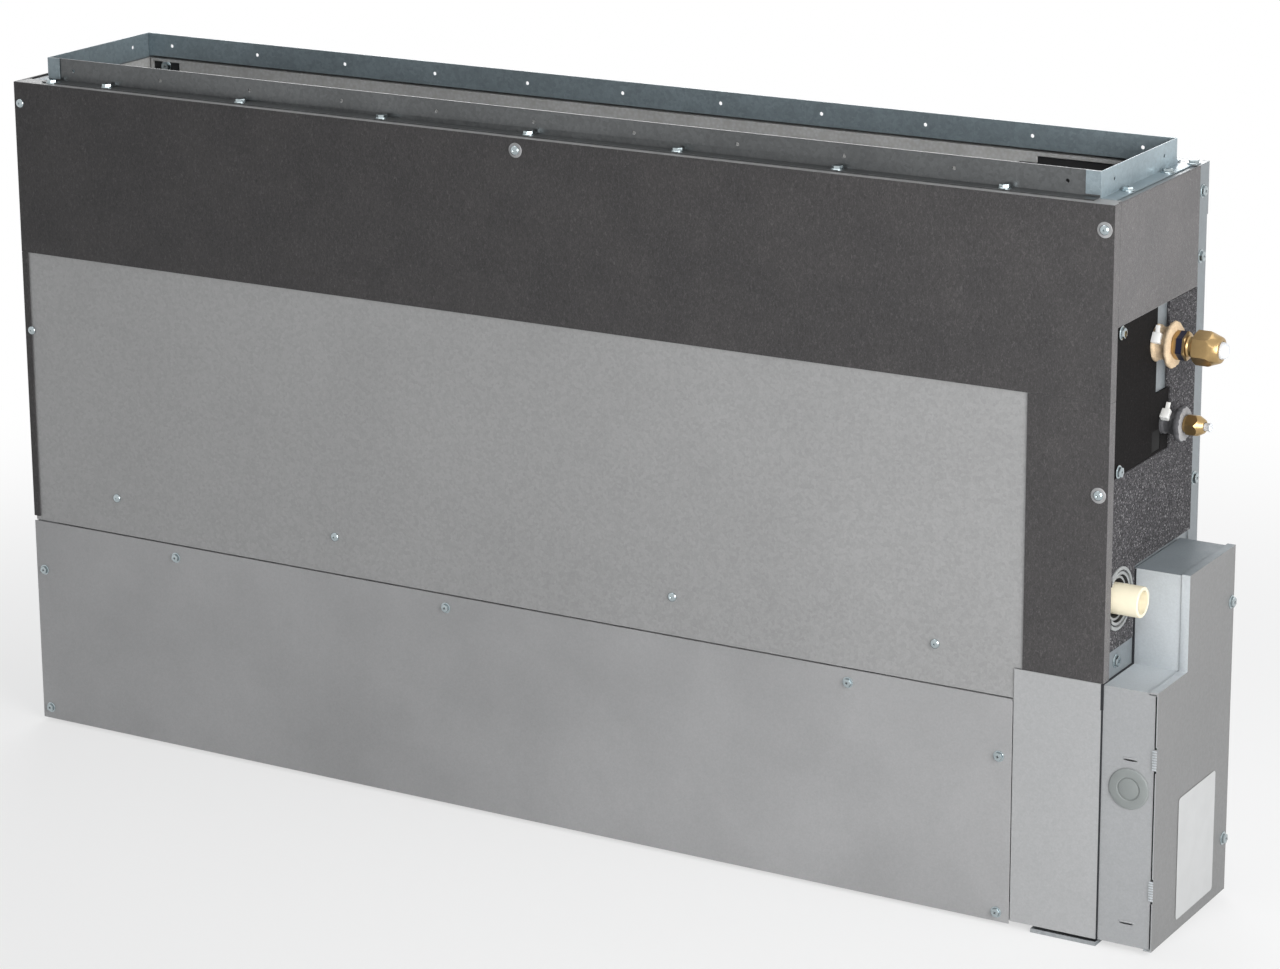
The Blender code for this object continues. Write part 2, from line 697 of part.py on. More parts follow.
# The base plate is a tray that opens upwards, with the intake cut through it. Spring tabs stand up
# along the intake's long edges and hold the filter by its sides.
BASE_Z = 2 * SHEET + 2 * GAP


def base_plate():
    shape = bmesh.new()
    edge = SIDE_SET + SHEET + GAP
    low = (edge, FRONT_SET + 2 * (SHEET + GAP), BASE_Z)
    high = (CASE_W - edge, CASE_D - 2 * (SHEET + GAP), BASE_Z + BASE_RIM)
    tray(shape, low, high, Vector((0, 0, 1)), SHEET)
    plate = add_object("base_plate", shape, GALVANISED)
    intake = bmesh.new()
    slab(intake, (INTAKE_X[0], INTAKE_Y[0], BASE_Z - PAST), (INTAKE_X[1], INTAKE_Y[1], BASE_Z + PAST))
    cut(plate, intake, "_intake")
    tabs = bmesh.new()
    for side, edge in ((-1, INTAKE_Y[0] + FILTER_CLEAR), (1, INTAKE_Y[1] - FILTER_CLEAR)):
        upright = edge + side * (GAP + CLIP_T)
        path = [
            (upright, BASE_Z + FILTER_H + CLIP_RISE), (upright, BASE_Z + FILTER_H),
            (edge + side * (FILTER_CLEAR + CLIP_T), BASE_Z + SHEET / 2 + CLIP_T),
            (edge + side * CLIP_FOOT, BASE_Z + SHEET / 2 + CLIP_T),
        ]
        outline = folded(path if side < 0 else list(reversed(path)), CLIP_T)
        for share in CLIP_SHARES:
            centre = INTAKE_X[0] + (INTAKE_X[1] - INTAKE_X[0]) * share
            prism(tabs, outline, "X", centre - CLIP_W / 2, centre + CLIP_W / 2)
    join(plate, tabs, "_filter_tabs")


# Each foot is a shallow channel across the casing, open upwards, with a lip folded up at its front.
# The right one reaches the casing's front.
def foot_channel(name, start_x, front_y):
    shape = bmesh.new()
    end_x = start_x + FOOT_CHANNEL_W
    path = [(start_x, -GAP), (start_x, -FOOT_H), (end_x, -FOOT_H), (end_x, -GAP)]
    prism(shape, folded(path, SHEET), "Y", front_y, CASE_D - GAP)
    foot = add_object(name, shape, GALVANISED)
    lip = bmesh.new()
    low = (start_x + SHEET / 2, front_y, -FOOT_H + SHEET / 2)
    slab(lip, low, (end_x - SHEET / 2, front_y + SHEET, -GAP))
    join(foot, lip, "_front_lip")


def foot_channels():
    foot_channel("foot_channel_left", LAP_SET, LEFT_FOOT_SETBACK)
    foot_channel("foot_channel_right", CASE_W - LAP_SET - FOOT_CHANNEL_W, GAP)


# Duct collar
# Four angles round the outlet. The front and rear ones carry the row of duct holes, and the end ones
# fold round the corners over them. Each has a foot screwed to the casing's top.
FRONT_FOOT_SCREW_X = [0.101, 0.256, 0.414, 0.571, 0.723, 0.879, 1.035]
COLLAR_BASE = CASE_H + GAP
END_COLLAR_BASE = SIDE_TOP + GAP
COLLAR_TOP = CASE_H + COLLAR_H
FRONT_WALL_Y = COLLAR_FRONT_Y + SHEET + GAP
REAR_WALL_Y = COLLAR_REAR_Y - SHEET - GAP
front_foot_screws = [(x, FRONT_WALL_Y - COLLAR_FOOT / 2, COLLAR_BASE + SHEET) for x in FRONT_FOOT_SCREW_X]
rear_foot_screws = [(x, REAR_WALL_Y + COLLAR_FOOT / 2, COLLAR_BASE + SHEET) for x in FRONT_FOOT_SCREW_X]
END_FOOT_SCREW_Y = [0.0586, 0.1411]
left_foot_x = COLLAR_LEFT_X - COLLAR_FOOT / 2
left_foot_screws = [(left_foot_x, y, END_COLLAR_BASE + SHEET) for y in END_FOOT_SCREW_Y]
right_foot_x = COLLAR_RIGHT_X + COLLAR_FOOT / 2
right_foot_screws = [(right_foot_x, y, END_COLLAR_BASE + SHEET) for y in END_FOOT_SCREW_Y]
duct_hole_x = [DUCT_HOLE_FIRST_X + DUCT_HOLE_PITCH * count for count in range(DUCT_HOLE_COUNT)]


def long_collar(name, wall_y, outward, foot_screws):
    """A collar angle along x: a wall with the duct holes and a foot that points outwards."""
    shape = bmesh.new()
    inner_y = wall_y - outward * SHEET
    path = [(inner_y, COLLAR_TOP), (inner_y, COLLAR_BASE), (wall_y + outward * COLLAR_FOOT, COLLAR_BASE)]
    outline = folded(path if outward > 0 else list(reversed(path)), SHEET)
    inside = SHEET + GAP
    prism(shape, outline, "X", COLLAR_LEFT_X + inside, COLLAR_RIGHT_X - inside)
    angle = add_object(name, shape, GALVANISED)
    holes = [(x, wall_y, CASE_H + DUCT_HOLE_UP) for x in duct_hole_x]
    drill(angle, holes, "Y", DUCT_HOLE_R, label="_duct_holes")
    drill(angle, foot_screws, "Z", SCREW_HOLE_R)


def end_collar(name, wall_x, outward, foot_screws):
    """A collar angle along y, whose wall folds round both corners."""
    shape = bmesh.new()
    inward_x = wall_x - outward * COLLAR_RETURN
    path = [
        (inward_x, COLLAR_FRONT_Y),
        (wall_x, COLLAR_FRONT_Y),
        (wall_x, COLLAR_REAR_Y),
        (inward_x, COLLAR_REAR_Y),
    ]
    if outward < 0:
        path.reverse()
    fold_base = CASE_H + 2 * (SHEET + GAP)
    prism(shape, folded(path, SHEET), "Z", fold_base, COLLAR_TOP)
    angle = add_object(name, shape, GALVANISED)
    foot = bmesh.new()
    wall_in = wall_x - outward * SHEET
    strip = [
        (wall_x + outward * COLLAR_FOOT, END_COLLAR_BASE), (wall_in, END_COLLAR_BASE),
        (wall_in, fold_base + SHEET),
        (wall_x, fold_base + SHEET), (wall_x, END_COLLAR_BASE + SHEET),
        (wall_x + outward * COLLAR_FOOT, END_COLLAR_BASE + SHEET),
    ]
    prism(foot, strip, "Y", FRONT_SET + FRONT_LAP + 2 * GAP, CASE_D - REAR_LAP - 2 * GAP)
    join(angle, foot, "_foot")
    mid_y = (COLLAR_FRONT_Y + COLLAR_REAR_Y) / 2
    half_pitch = DUCT_HOLE_PITCH / 2
    holes = [(wall_x, mid_y + side * half_pitch, CASE_H + DUCT_HOLE_UP) for side in (-1, 1)]
    drill(angle, holes, "X", DUCT_HOLE_R, label="_duct_holes")
    drill(angle, foot_screws, "Z", SCREW_HOLE_R)


def duct_collar():
    long_collar("collar_front", FRONT_WALL_Y, -1, front_foot_screws)
    long_collar("collar_rear", REAR_WALL_Y, 1, rear_foot_screws)
    end_collar("collar_left", COLLAR_LEFT_X, -1, left_foot_screws)
    end_collar("collar_right", COLLAR_RIGHT_X, 1, right_foot_screws)


# Felt and foam skins
# The front felt wraps round the right corner. The left one wraps round the left corner.
def felts():
    shape = bmesh.new()
    path = [(0, 0), (CASE_W, 0), (CASE_W, FELT_WRAP)]
    prism(shape, folded(path, FELT), "Z", WINDOW_TOP, CASE_H)
    front = add_object("felt_front", shape, FELT_GREY)
    screw_spots = top_left_felt_screw + upper_washer_places
    drill(front, screw_spots, "Y", SCREW_HOLE_R)

    shape = bmesh.new()
    path[0] = (COLUMN_X, 0)
    prism(shape, folded(path, FELT), "Z", STRIP_TOP + GAP, WINDOW_TOP - GAP)
    column = add_object("felt_right_column", shape, FELT_GREY)
    drill(column, column_washer_places, "Y", SCREW_HOLE_R)

    shape = bmesh.new()
    behind = FRONT_SET + FRONT_SIDE_LAP + GAP
    side_end = CASE_D - REAR_LAP - GAP
    outline = [
        (0, 0), (LEFT_FELT_W, 0), (LEFT_FELT_W, FELT), (FELT, FELT),
        (FELT, behind), (BOARD, behind), (BOARD, side_end), (0, side_end),
    ]
    prism(shape, outline, "Z", LEFT_FELT_BOTTOM, CASE_H)
    left = add_object("felt_left", shape, FELT_GREY)
    trim = bmesh.new()
    slab(trim, (-PAST, -PAST, WINDOW_TOP - GAP), (LEFT_FELT_W + PAST, FELT + GAP, CASE_H + PAST))
    cut(left, trim, "_top_trim")
    drill(left, left_felt_screws, "Y", SCREW_HOLE_R)

    shape = bmesh.new()
    slab(shape, (CASE_W - BOARD, FELT_WRAP + GAP, SIDE_FELT_BOTTOM), (CASE_W, side_end, CASE_H))
    add_object("felt_right_side", shape, FELT_GREY)


def foam_right_side():
    shape = bmesh.new()
    front_y = FELT_WRAP + GAP
    rear_y = CASE_D - REAR_LAP - GAP
    low_z = STRIP_SIDE_TOP + GAP
    over_box = BOX_TOP + BOX_MARGIN
    by_box = BOX_SETBACK - BOX_MARGIN
    outline = [
        (front_y, low_z), (by_box, low_z), (by_box, over_box), (rear_y, over_box),
        (rear_y, SIDE_FELT_BOTTOM - GAP), (FOAM_UPPER_Y, SIDE_FELT_BOTTOM - GAP),
        (FOAM_UPPER_Y, FOAM_STEP_Z),
        (PLATE_LOWER_Y + GAP, FOAM_STEP_Z), (PLATE_LOWER_Y + GAP, FOAM_SPLIT_Z - GAP),
        (front_y, FOAM_SPLIT_Z - GAP),
    ]
    prism(shape, outline, "X", CASE_W - BOARD, CASE_W)
    foam = add_object("foam_right_side", shape, FOAM_GREY)
    ports = bmesh.new()
    rod(ports, (CASE_W, DRAIN_Y, DRAIN_Z), DRAIN_HOLE_R + PORT_CLEAR, PAST)
    rod(ports, (CASE_W, LIQUID_Y, LIQUID_Z), LIQUID_SLEEVE_R + PORT_CLEAR, PAST)
    cut(foam, ports, "_ports")


# The pipe cover plate is notched round both lines, so that it lifts off over them.
PLATE_SCREW_INSET = 0.0075
PLATE_SCREW_UP = 0.0055
plate_screw_z = (SIDE_FELT_BOTTOM - PLATE_SCREW_UP, FOAM_SPLIT_Z + PLATE_SCREW_UP)
plate_screws = [(CASE_W - BOARD + PLATE_T, PLATE_FRONT_Y + PLATE_SCREW_INSET, z) for z in plate_screw_z]


def pipe_cover_plate():
    shape = bmesh.new()
    outline = [
        (PLATE_FRONT_Y, FOAM_SPLIT_Z), (PLATE_LOWER_Y, FOAM_SPLIT_Z), (PLATE_LOWER_Y, FOAM_STEP_Z - GAP),
        (PLATE_UPPER_Y, FOAM_STEP_Z - GAP), (PLATE_UPPER_Y, SIDE_FELT_BOTTOM - GAP),
        (PLATE_FRONT_Y, SIDE_FELT_BOTTOM - GAP),
    ]
    prism(shape, outline, "X", CASE_W - BOARD, CASE_W - BOARD + PLATE_T)
    plate = add_object("pipe_cover_plate", shape, PLATE_BLACK)
    ports = bmesh.new()
    rod(ports, (CASE_W - BOARD, GAS_Y, GAS_Z), GAS_SLEEVE_R + NOTCH_CLEAR, PAST)
    rod(ports, (CASE_W - BOARD, LIQUID_Y, LIQUID_Z), LIQUID_SLEEVE_R + NOTCH_CLEAR, PAST)
    cut(plate, ports, "_notches")
    drill(plate, plate_screws, "X", SCREW_HOLE_R)


# Liners
# The rear liner is one moulded foam board. A ledge on it seals against the coil's upper edge, and its
# face is hollowed near its upper left and right corners.
def coil_point(along, across):
    """A point in the coil's cross-section, from its middle: along its slope, and across it to the rear."""
    y = COIL_MID_Y + along * sin(COIL_TILT) + across * cos(COIL_TILT)
    z = COIL_MID_Z + along * cos(COIL_TILT) - across * sin(COIL_TILT)
    return y, z


def liners():
    top = SIDE_TOP - SHEET - GAP
    back = CASE_D - 2 * (SHEET + GAP) - GAP
    face = back - LINER_T
    corner_y, corner_z = coil_point(COIL_LENGTH / 2, COIL_THICK / 2)
    ledge = corner_y + GAP
    outline = [
        (back, LINER_BOTTOM), (back, top), (face, top), (face, corner_z + 2 * LINER_LEDGE),
        (ledge, corner_z + LINER_LEDGE), (ledge, corner_z - LINER_LEDGE),
        (face, corner_z - 2.5 * LINER_LEDGE), (face, LINER_BOTTOM),
    ]
    shape = bmesh.new()
    start = SIDE_SET + SIDE_LAP + GAP
    end = CASE_W - SIDE_SET - SIDE_LAP - GAP
    prism(shape, outline, "X", start, end)
    rear = add_object("rear_liner", shape, FOAM_WHITE)
    notches = bmesh.new()
    floor = face + LINER_NOTCH_DEPTH
    low = (start + LEFT_NOTCH_X[0], face - PAST, top - LEFT_NOTCH_DROP[1])
    slab(notches, low, (start + LEFT_NOTCH_X[1], floor, top - LEFT_NOTCH_DROP[0]))
    long_x = end - RIGHT_NOTCH_X[0]
    short_x = end - RIGHT_NOTCH_X[1]
    short_z, long_z, foot_z = (top - drop for drop in RIGHT_NOTCH_DROP)
    right_notch = [
        (long_x, foot_z), (end + PAST, foot_z), (end + PAST, long_z),
        (short_x, long_z), (short_x, short_z), (long_x, short_z),
    ]
    prism(notches, right_notch, "Y", face - PAST, floor)
    cut(rear, notches, "_notches")

    shape = bmesh.new()
    inner = SIDE_SET + SHEET + GAP
    front = FRONT_SET + 2 * SHEET + 2 * GAP
    slab(shape, (inner, front, top - LEFT_LINER_H), (COLLAR_LEFT_X - GAP, back, top))
    add_object("left_liner", shape, FOAM_WHITE)


# Hanging brackets are flat hooks on the rear panel, each with a keyhole for a wall screw.
def hanging_bracket(name, start):
    shape = bmesh.new()
    bottom = CASE_H - BRACKET_DROP
    middle = start + BRACKET_W / 2
    outline = [(start, bottom + BRACKET_CHAMFER), (start + BRACKET_CHAMFER, bottom)]
    end = start + BRACKET_W
    outline += [(end - BRACKET_CHAMFER, bottom), (end, bottom + BRACKET_CHAMFER)]
    outline += [(end, CASE_H), (start, CASE_H)]
    prism(shape, outline, "Y", CASE_D + GAP, CASE_D + GAP + BRACKET_T)
    bracket = add_object(name, shape, GALVANISED)
    keyhole = bmesh.new()
    eye = (middle, bottom + KEYHOLE_LIFT)
    outline = arc(eye, KEYHOLE_R, radians(120), radians(420), 10)
    outline += arc((middle, eye[1] + KEYHOLE_RISE), KEYHOLE_R / 2, 0, pi, 4)
    prism(keyhole, outline, "Y", CASE_D - PAST, CASE_D + PAST)
    cut(bracket, keyhole, "_keyhole")


def hanging_brackets():
    hanging_bracket("hanging_bracket_left", LAP_SET)
    hanging_bracket("hanging_bracket_right", CASE_W - LAP_SET - BRACKET_W)


# Electrical box
# The box is a stepped tray that opens to the right, and its cover is a shallow tray over it.
def stepped_outline(inset):
    """The box's outline seen from the right, brought in by a wall and clearance."""
    return [
        (LOWER_FACE_Y + inset, BOX_BOTTOM + inset), (BOX_D - inset, BOX_BOTTOM + inset),
        (BOX_D - inset, BOX_TOP - inset), (BOX_SETBACK + inset, BOX_TOP - inset),
        (BOX_SETBACK + inset, BOX_LOW_TOP - inset), (LOWER_FACE_Y + inset, BOX_LOW_TOP - inset),
    ]


def stepped_tray(shape, inset, start, end, open_side):
    prism(shape, stepped_outline(inset), "X", start, end)
    bmesh.ops.recalc_face_normals(shape, faces=shape.faces)
    shape.normal_update()
    face = max(shape.faces, key=lambda item: item.normal.x * open_side)
    hollow(shape, face, Vector((open_side, 0, 0)), end - start, SHEET)


box_screws = [(BOX_OUTER, 0.1563, 0.2678), (BOX_OUTER, 0.1543, 0.0510)]
PLUG_X = CASE_W + PLUG_X_OUT


def electrical_box():
    shape = bmesh.new()
    inset = SHEET + GAP
    stepped_tray(shape, inset, BOX_INNER, BOX_OUTER - SHEET - GAP, 1)
    box = add_object("electrical_box", shape, GALVANISED)
    face = LOWER_FACE_Y + inset
    drill(box, [(PLUG_X, face, PLUG_Z)], "Y", PLUG_HOLE_R + PORT_CLEAR, sides=20, label="_knockout")

    shape = bmesh.new()
    stepped_tray(shape, 0, BOX_OUTER - COVER_LIP, BOX_OUTER, -1)
    cover = add_object("box_cover", shape, GALVANISED)
    lip_cut = bmesh.new()
    lip_back = LOWER_FACE_Y + SHEET + GAP / 2
    low = (BOX_OUTER - COVER_LIP - PAST, -PAST, BOX_BOTTOM + SHEET)
    slab(lip_cut, low, (BOX_OUTER - COVER_FRONT_LIP, lip_back, BOX_LOW_TOP - SHEET))
    cut(cover, lip_cut, "_front_lip_cut")
    slots = bmesh.new()
    for z in TAB_SLOT_Z:
        low = (BOX_OUTER - COVER_LIP, -PAST, z - TAB_SLOT_H / 2)
        slab(slots, low, (BOX_OUTER - TAB_SLOT_LEFT, lip_back, z + TAB_SLOT_H / 2))
    cut(cover, slots, "_tab_slots")
    drill(cover, box_screws, "X", SCREW_HOLE_R)

    shape = bmesh.new()
    rim = -GAP - PLUG_RIM_T
    high = rim - PLUG_DISH
    inner_r = PLUG_HOLE_R - PLUG_WALL
    profile = [
        (high, 0), (high, PLUG_RING_R), (rim, PLUG_GROOVE_R), (high, PLUG_STEP_R), (rim, PLUG_R),
        (-GAP, PLUG_R), (-GAP, PLUG_HOLE_R), (PLUG_DEPTH, PLUG_HOLE_R), (PLUG_DEPTH, inner_r),
        (0, inner_r), (0, 0),
    ]
    turned(shape, profile, (PLUG_X, face, PLUG_Z), "Y", 20)
    add_object("blanking_plug", shape, PLASTIC_GREY, round_shape=True)

    shape = bmesh.new()
    slab(shape, (BOX_OUTER + GAP, LABEL_Y[0], LABEL_Z[0]), (BOX_OUTER + 2 * GAP, LABEL_Y[1], LABEL_Z[1]))
    add_object("label_plate", shape, PLASTIC_WHITE)


# The terminal block is a comb of poles between barriers, and the board carries its tall parts on one
# face. Both lie against the box's inner wall.
def box_contents():
    inner_x = BOX_INNER + SHEET + GAP
    back_y, recess_y, front_y = BLOCK_Y
    end_z = BLOCK_Z + POLE_COUNT * POLE_PITCH
    outline = []
    for pole in range(POLE_COUNT):
        foot = BLOCK_Z + pole * POLE_PITCH
        above = foot + BARRIER_T
        outline += [(front_y, foot), (front_y, above), (recess_y, above), (recess_y, foot + POLE_PITCH)]
    last_z = end_z + BARRIER_T
    outline += [(front_y, end_z), (front_y, last_z), (back_y, last_z), (back_y, BLOCK_Z)]
    shape = bmesh.new()
    prism(shape, outline, "X", inner_x, inner_x + BLOCK_DEPTH)
    add_object("terminal_block", shape, PLASTIC_BLACK)

    shape = bmesh.new()
    face = inner_x + CIRCUIT_T
    slab(shape, (inner_x, CIRCUIT_Y[0], CIRCUIT_Z[0]), (face, CIRCUIT_Y[1], CIRCUIT_Z[1]))
    board = add_object("control_board", shape, BOARD_GREEN)
    tall = bmesh.new()
    for across, up, height in (TRANSFORMER, CAPACITOR, RELAY_ROW, HEAT_SINK):
        slab(tall, (face - CIRCUIT_T / 2, across[0], up[0]), (inner_x + height, across[1], up[1]))
    join(board, tall, "_tall_parts")


# Fan section
# The housings hang under the deck. Each is a spiral shell with a round inlet on both sides and its
# mouth through the deck.
SCROLL_R0 = WHEEL_R + SCROLL_GAP
SCROLL_GROWTH = log(SCROLL_REACH / SCROLL_R0) / (2 * pi - SCROLL_START)
SCROLL_TOP = DECK_Z - GAP
scroll_starts = {
    "scroll_left": FAN_CENTRE_X - MOTOR_W / 2 - SCROLL_SIDE_CLEAR - SCROLL_W,
    "scroll_right": FAN_CENTRE_X + MOTOR_W / 2 + SCROLL_SIDE_CLEAR,
}
MOUTH_FRONT_Y = FAN_Y + SCROLL_R0 * cos(SCROLL_START) - MOUTH_LIP
MOUTH_REAR_Y = FAN_Y + SCROLL_REACH


def spiral(wall, steps=16):
    """The housing's outline, wall metres inside the outer skin."""
    points = []
    for step in range(steps + 1):
        turn = SCROLL_START + (2 * pi - SCROLL_START) * step / steps
        radius = SCROLL_R0 * exp(SCROLL_GROWTH * (turn - SCROLL_START)) - wall
        points.append((FAN_Y + radius * cos(turn), FAN_Z + radius * sin(turn)))
    return points


def scroll(name, start_x):
    shape = bmesh.new()
    outline = spiral(0) + [(MOUTH_REAR_Y, SCROLL_TOP), (MOUTH_FRONT_Y, SCROLL_TOP)]
    prism(shape, outline, "X", start_x, start_x + SCROLL_W)
    housing = add_object(name, shape, GALVANISED)
    inside = bmesh.new()
    above = SCROLL_TOP + PAST
    hollow_outline = spiral(SHEET) + [(MOUTH_REAR_Y - SHEET, above), (MOUTH_FRONT_Y + SHEET, above)]
    prism(inside, hollow_outline, "X", start_x + SHEET, start_x + SCROLL_W - SHEET)
    cut(housing, inside, "_hollow")
    inlets = bmesh.new()
    middle = (start_x + SCROLL_W / 2, FAN_Y, FAN_Z)
    rod(inlets, middle, INLET_R, SCROLL_W / 2 + PAST)
    cut(housing, inlets, "_inlets")


# A sirocco wheel: forward-curved blades between two end rings, carried by a disc and hub in the middle.
def blade_outline(turn, steps=2):
    """One blade seen along the shaft: a curved strip that leans forwards towards its tip."""
    front, back = [], []
    for step in range(steps + 1):
        share = step / steps
        radius = WHEEL_INNER_R + GAP + (WHEEL_R - WHEEL_INNER_R - 2 * GAP) * share
        lean = turn + BLADE_LEAN * share * share
        half = BLADE_T / 2 / radius
        front.append((FAN_Y + radius * cos(lean - half), FAN_Z + radius * sin(lean - half)))
        back.append((FAN_Y + radius * cos(lean + half), FAN_Z + radius * sin(lean + half)))
    return front + list(reversed(back))


def fan_wheel(name, middle_x, carrier):
    centre = (middle_x, FAN_Y, FAN_Z)
    half = WHEEL_W / 2
    shape = bmesh.new()
    for side in (-1, 1):
        inner = side * (half - RING_T)
        outer = side * half
        rim = [(inner, WHEEL_INNER_R), (outer, WHEEL_INNER_R), (outer, WHEEL_R), (inner, WHEEL_R)]
        turned(shape, rim, centre, "X", BLADE_COUNT, ring=True)
    hub_half = HUB_W / 2
    disc_half = DISC_T / 2
    bore = SHAFT_R + GAP
    disc = [
        (-hub_half, bore), (-hub_half, HUB_R), (-disc_half, HUB_R), (-disc_half, WHEEL_R - 0.001),
        (disc_half, WHEEL_R - 0.001), (disc_half, HUB_R), (hub_half, HUB_R), (hub_half, bore),
    ]
    turned(shape, disc, centre, "X", BLADE_COUNT, ring=True)
    wheel = add_object(name, shape, PLASTIC_BLACK, centre, carrier, round_shape=True)
    blades = bmesh.new()
    for count in range(BLADE_COUNT):
        turn = 2 * pi * (count + 0.5) / BLADE_COUNT
        prism(blades, blade_outline(turn), "X", middle_x - half + RING_T / 2, middle_x + half - RING_T / 2)
    join(wheel, blades, "_blades")


def fan_rotor():
    axis_point = (FAN_CENTRE_X, FAN_Y, FAN_Z)
    rotor = bpy.data.objects.new("fan_axis", None)
    bpy.context.scene.collection.objects.link(rotor)
    place(rotor, axis_point)
    for side in ("left", "right"):
        fan_wheel("fan_wheel_" + side, scroll_starts["scroll_" + side] + SCROLL_W / 2, rotor)
    wheel_x = scroll_starts["scroll_right"] + SCROLL_W / 2
    reach = wheel_x - FAN_CENTRE_X + HUB_W / 2 + SHAFT_PAST
    shape = bmesh.new()
    profile = [
        (-reach, 0), (-reach, SHAFT_R - SHAFT_CHAMFER), (-reach + SHAFT_CHAMFER, SHAFT_R),
        (reach - SHAFT_CHAMFER, SHAFT_R), (reach, SHAFT_R - SHAFT_CHAMFER), (reach, 0),
    ]
    turned(shape, profile, axis_point, "X", 16)
    add_object("fan_shaft", shape, STEEL, axis_point, rotor, round_shape=True)


# The motor drives both wheels. A strap round its middle hangs it from the deck.
def fan_motor():
    centre = (FAN_CENTRE_X, FAN_Y, FAN_Z)
    half = MOTOR_W / 2
    bell = half - MOTOR_BELL_W
    boss = half - MOTOR_BOSS_W
    outer = [
        (bell, MOTOR_R), (bell + SHEET, MOTOR_SHOULDER_R), (boss - SHEET, MOTOR_BELL_R),
        (boss, MOTOR_BOSS_R + SHEET), (half, MOTOR_BOSS_R), (half, SHAFT_R + GAP),
    ]
    shape = bmesh.new()
    mirrored = [(-x, radius) for x, radius in reversed(outer)]
    turned(shape, mirrored + outer, centre, "X", MOTOR_SIDES, ring=True)
    add_object("fan_motor", shape, STEEL, round_shape=True)

    shape = bmesh.new()
    seat = (MOTOR_R + GAP) / cos(pi / MOTOR_SIDES)
    path = arc((FAN_Y, FAN_Z), seat, pi, 2 * pi, MOTOR_SIDES // 2)
    path = [(path[0][0] - STRAP_FOOT, SCROLL_TOP), (path[0][0], SCROLL_TOP)] + path
    path += [(path[-1][0], SCROLL_TOP), (path[-1][0] + STRAP_FOOT, SCROLL_TOP)]
    outline = folded(list(reversed(path)), STRAP_T)
    prism(shape, outline, "X", FAN_CENTRE_X - STRAP_W / 2, FAN_CENTRE_X + STRAP_W / 2)
    add_object("motor_cradle", shape, GALVANISED)


# The deck is a tray that opens downwards. Its corners are relieved round the side panels' flanges.
def fan_deck():
    shape = bmesh.new()
    edge = SIDE_SET + SHEET + GAP
    low = Vector((edge, FRONT_SET + SHEET + GAP, DECK_Z - DECK_RIM + SHEET))
    high = Vector((CASE_W - edge, CASE_D - SHEET - GAP, DECK_Z + SHEET))
    tray(shape, low, high, Vector((0, 0, -1)), SHEET)
    deck = add_object("fan_deck", shape, GALVANISED)
    reliefs = bmesh.new()
    inset_x = SIDE_LAP - SHEET
    inset_y = SHEET + GAP
    for x in (low.x, high.x):
        for y in (low.y, high.y):
            corner = (x - inset_x, y - inset_y, low.z - PAST)
            slab(reliefs, corner, (x + inset_x, y + inset_y, high.z + PAST))
    cut(deck, reliefs, "_corner_reliefs")
    mouths = bmesh.new()
    for start in scroll_starts.values():
        corner = (start + SHEET, MOUTH_FRONT_Y + SHEET, DECK_Z - PAST)
        slab(mouths, corner, (start + SCROLL_W - SHEET, MOUTH_REAR_Y - 2 * SHEET, DECK_Z + PAST))
    cut(deck, mouths, "_mouths")


# Coil
# A slanted block of fins on copper tubes, with an end plate at each end and return bends outside them.
def tube_spot(row, column):
    """Where a tube passes through the coil: its place along the slope and across it."""
    along = (row - (TUBE_ROWS - 1) / 2) * TUBE_PITCH
    return along, column * COIL_THICK / 4


def coil():
    corners = [
        coil_point(sign_a * COIL_LENGTH / 2, sign_b * COIL_THICK / 2)
        for sign_a, sign_b in ((-1, -1), (-1, 1), (1, 1), (1, -1))
    ]
    shape = bmesh.new()
    prism(shape, corners, "X", COIL_X0 + SHEET + GAP, COIL_X1 - SHEET - GAP)
    add_object("coil_fin_pack", shape, FIN_ALUMINIUM)

    side_inner = SIDE_SET + SHEET + GAP
    end_plate("coil_end_plate_left", corners, -1, COIL_X0, side_inner, (1, -1))
    end_plate("coil_end_plate_right", corners, 1, COIL_X1, CASE_W - side_inner, (1,))


def end_plate(name, corners, end, outer_x, side_x, bend_columns):
    """A sheet across the coil's end, a flange out to the side panel and the tubes' return bends."""
    shape = bmesh.new()
    prism(shape, corners, "X", outer_x, outer_x - end * SHEET)
    plate = add_object(name, shape, GALVANISED)
    flange = bmesh.new()
    foot = -COIL_LENGTH / 2 + FLANGE_LIFT
    face = FLANGE_IN - COIL_THICK / 2
    strip = [
        coil_point(foot, face), coil_point(foot + FLANGE_W, face),
        coil_point(foot + FLANGE_W, face + SHEET), coil_point(foot, face + SHEET),
    ]
    prism(flange, strip, "X", outer_x - end * SHEET / 2, side_x)
    join(plate, flange, "_flange")
    bends = bmesh.new()
    first_row = 0 if end < 0 else 1
    for column in bend_columns:
        for row in range(first_row, TUBE_ROWS - 1, 2):
            start, finish = tube_spot(row, column), tube_spot(row + 1, column)
            return_bend(bends, start, finish, outer_x - end * SHEET / 2, end)
    join(plate, bends, "_return_bends")


def return_bend(shape, first, second, start_x, end):
    """A half ring of tube between two neighbouring tube ends, outside an end plate."""
    start = Vector((start_x, *coil_point(*first)))
    finish = Vector((start_x, *coil_point(*second)))
    out = Vector((end, 0, 0))
    half = (finish - start) / 2
    middle = (start + finish) / 2 + out * SHEET
    turns = [pi * step / BEND_STEPS for step in range(BEND_STEPS + 1)]
    bow = [middle - half * cos(turn) + out * half.length * sin(turn) for turn in turns]
    line = [start] + bow + [finish]
    ahead = [out] + [half.normalized() * sin(turn) + out * cos(turn) for turn in turns] + [-out]
    swept(shape, line, ahead, half.normalized().cross(out), TUBE_R, BEND_SIDES)


# Header and lines at the coil's right end, inside the casing. Stubs carry the header off the coil.
HEADER_X = COIL_X1 + HEADER_OUT


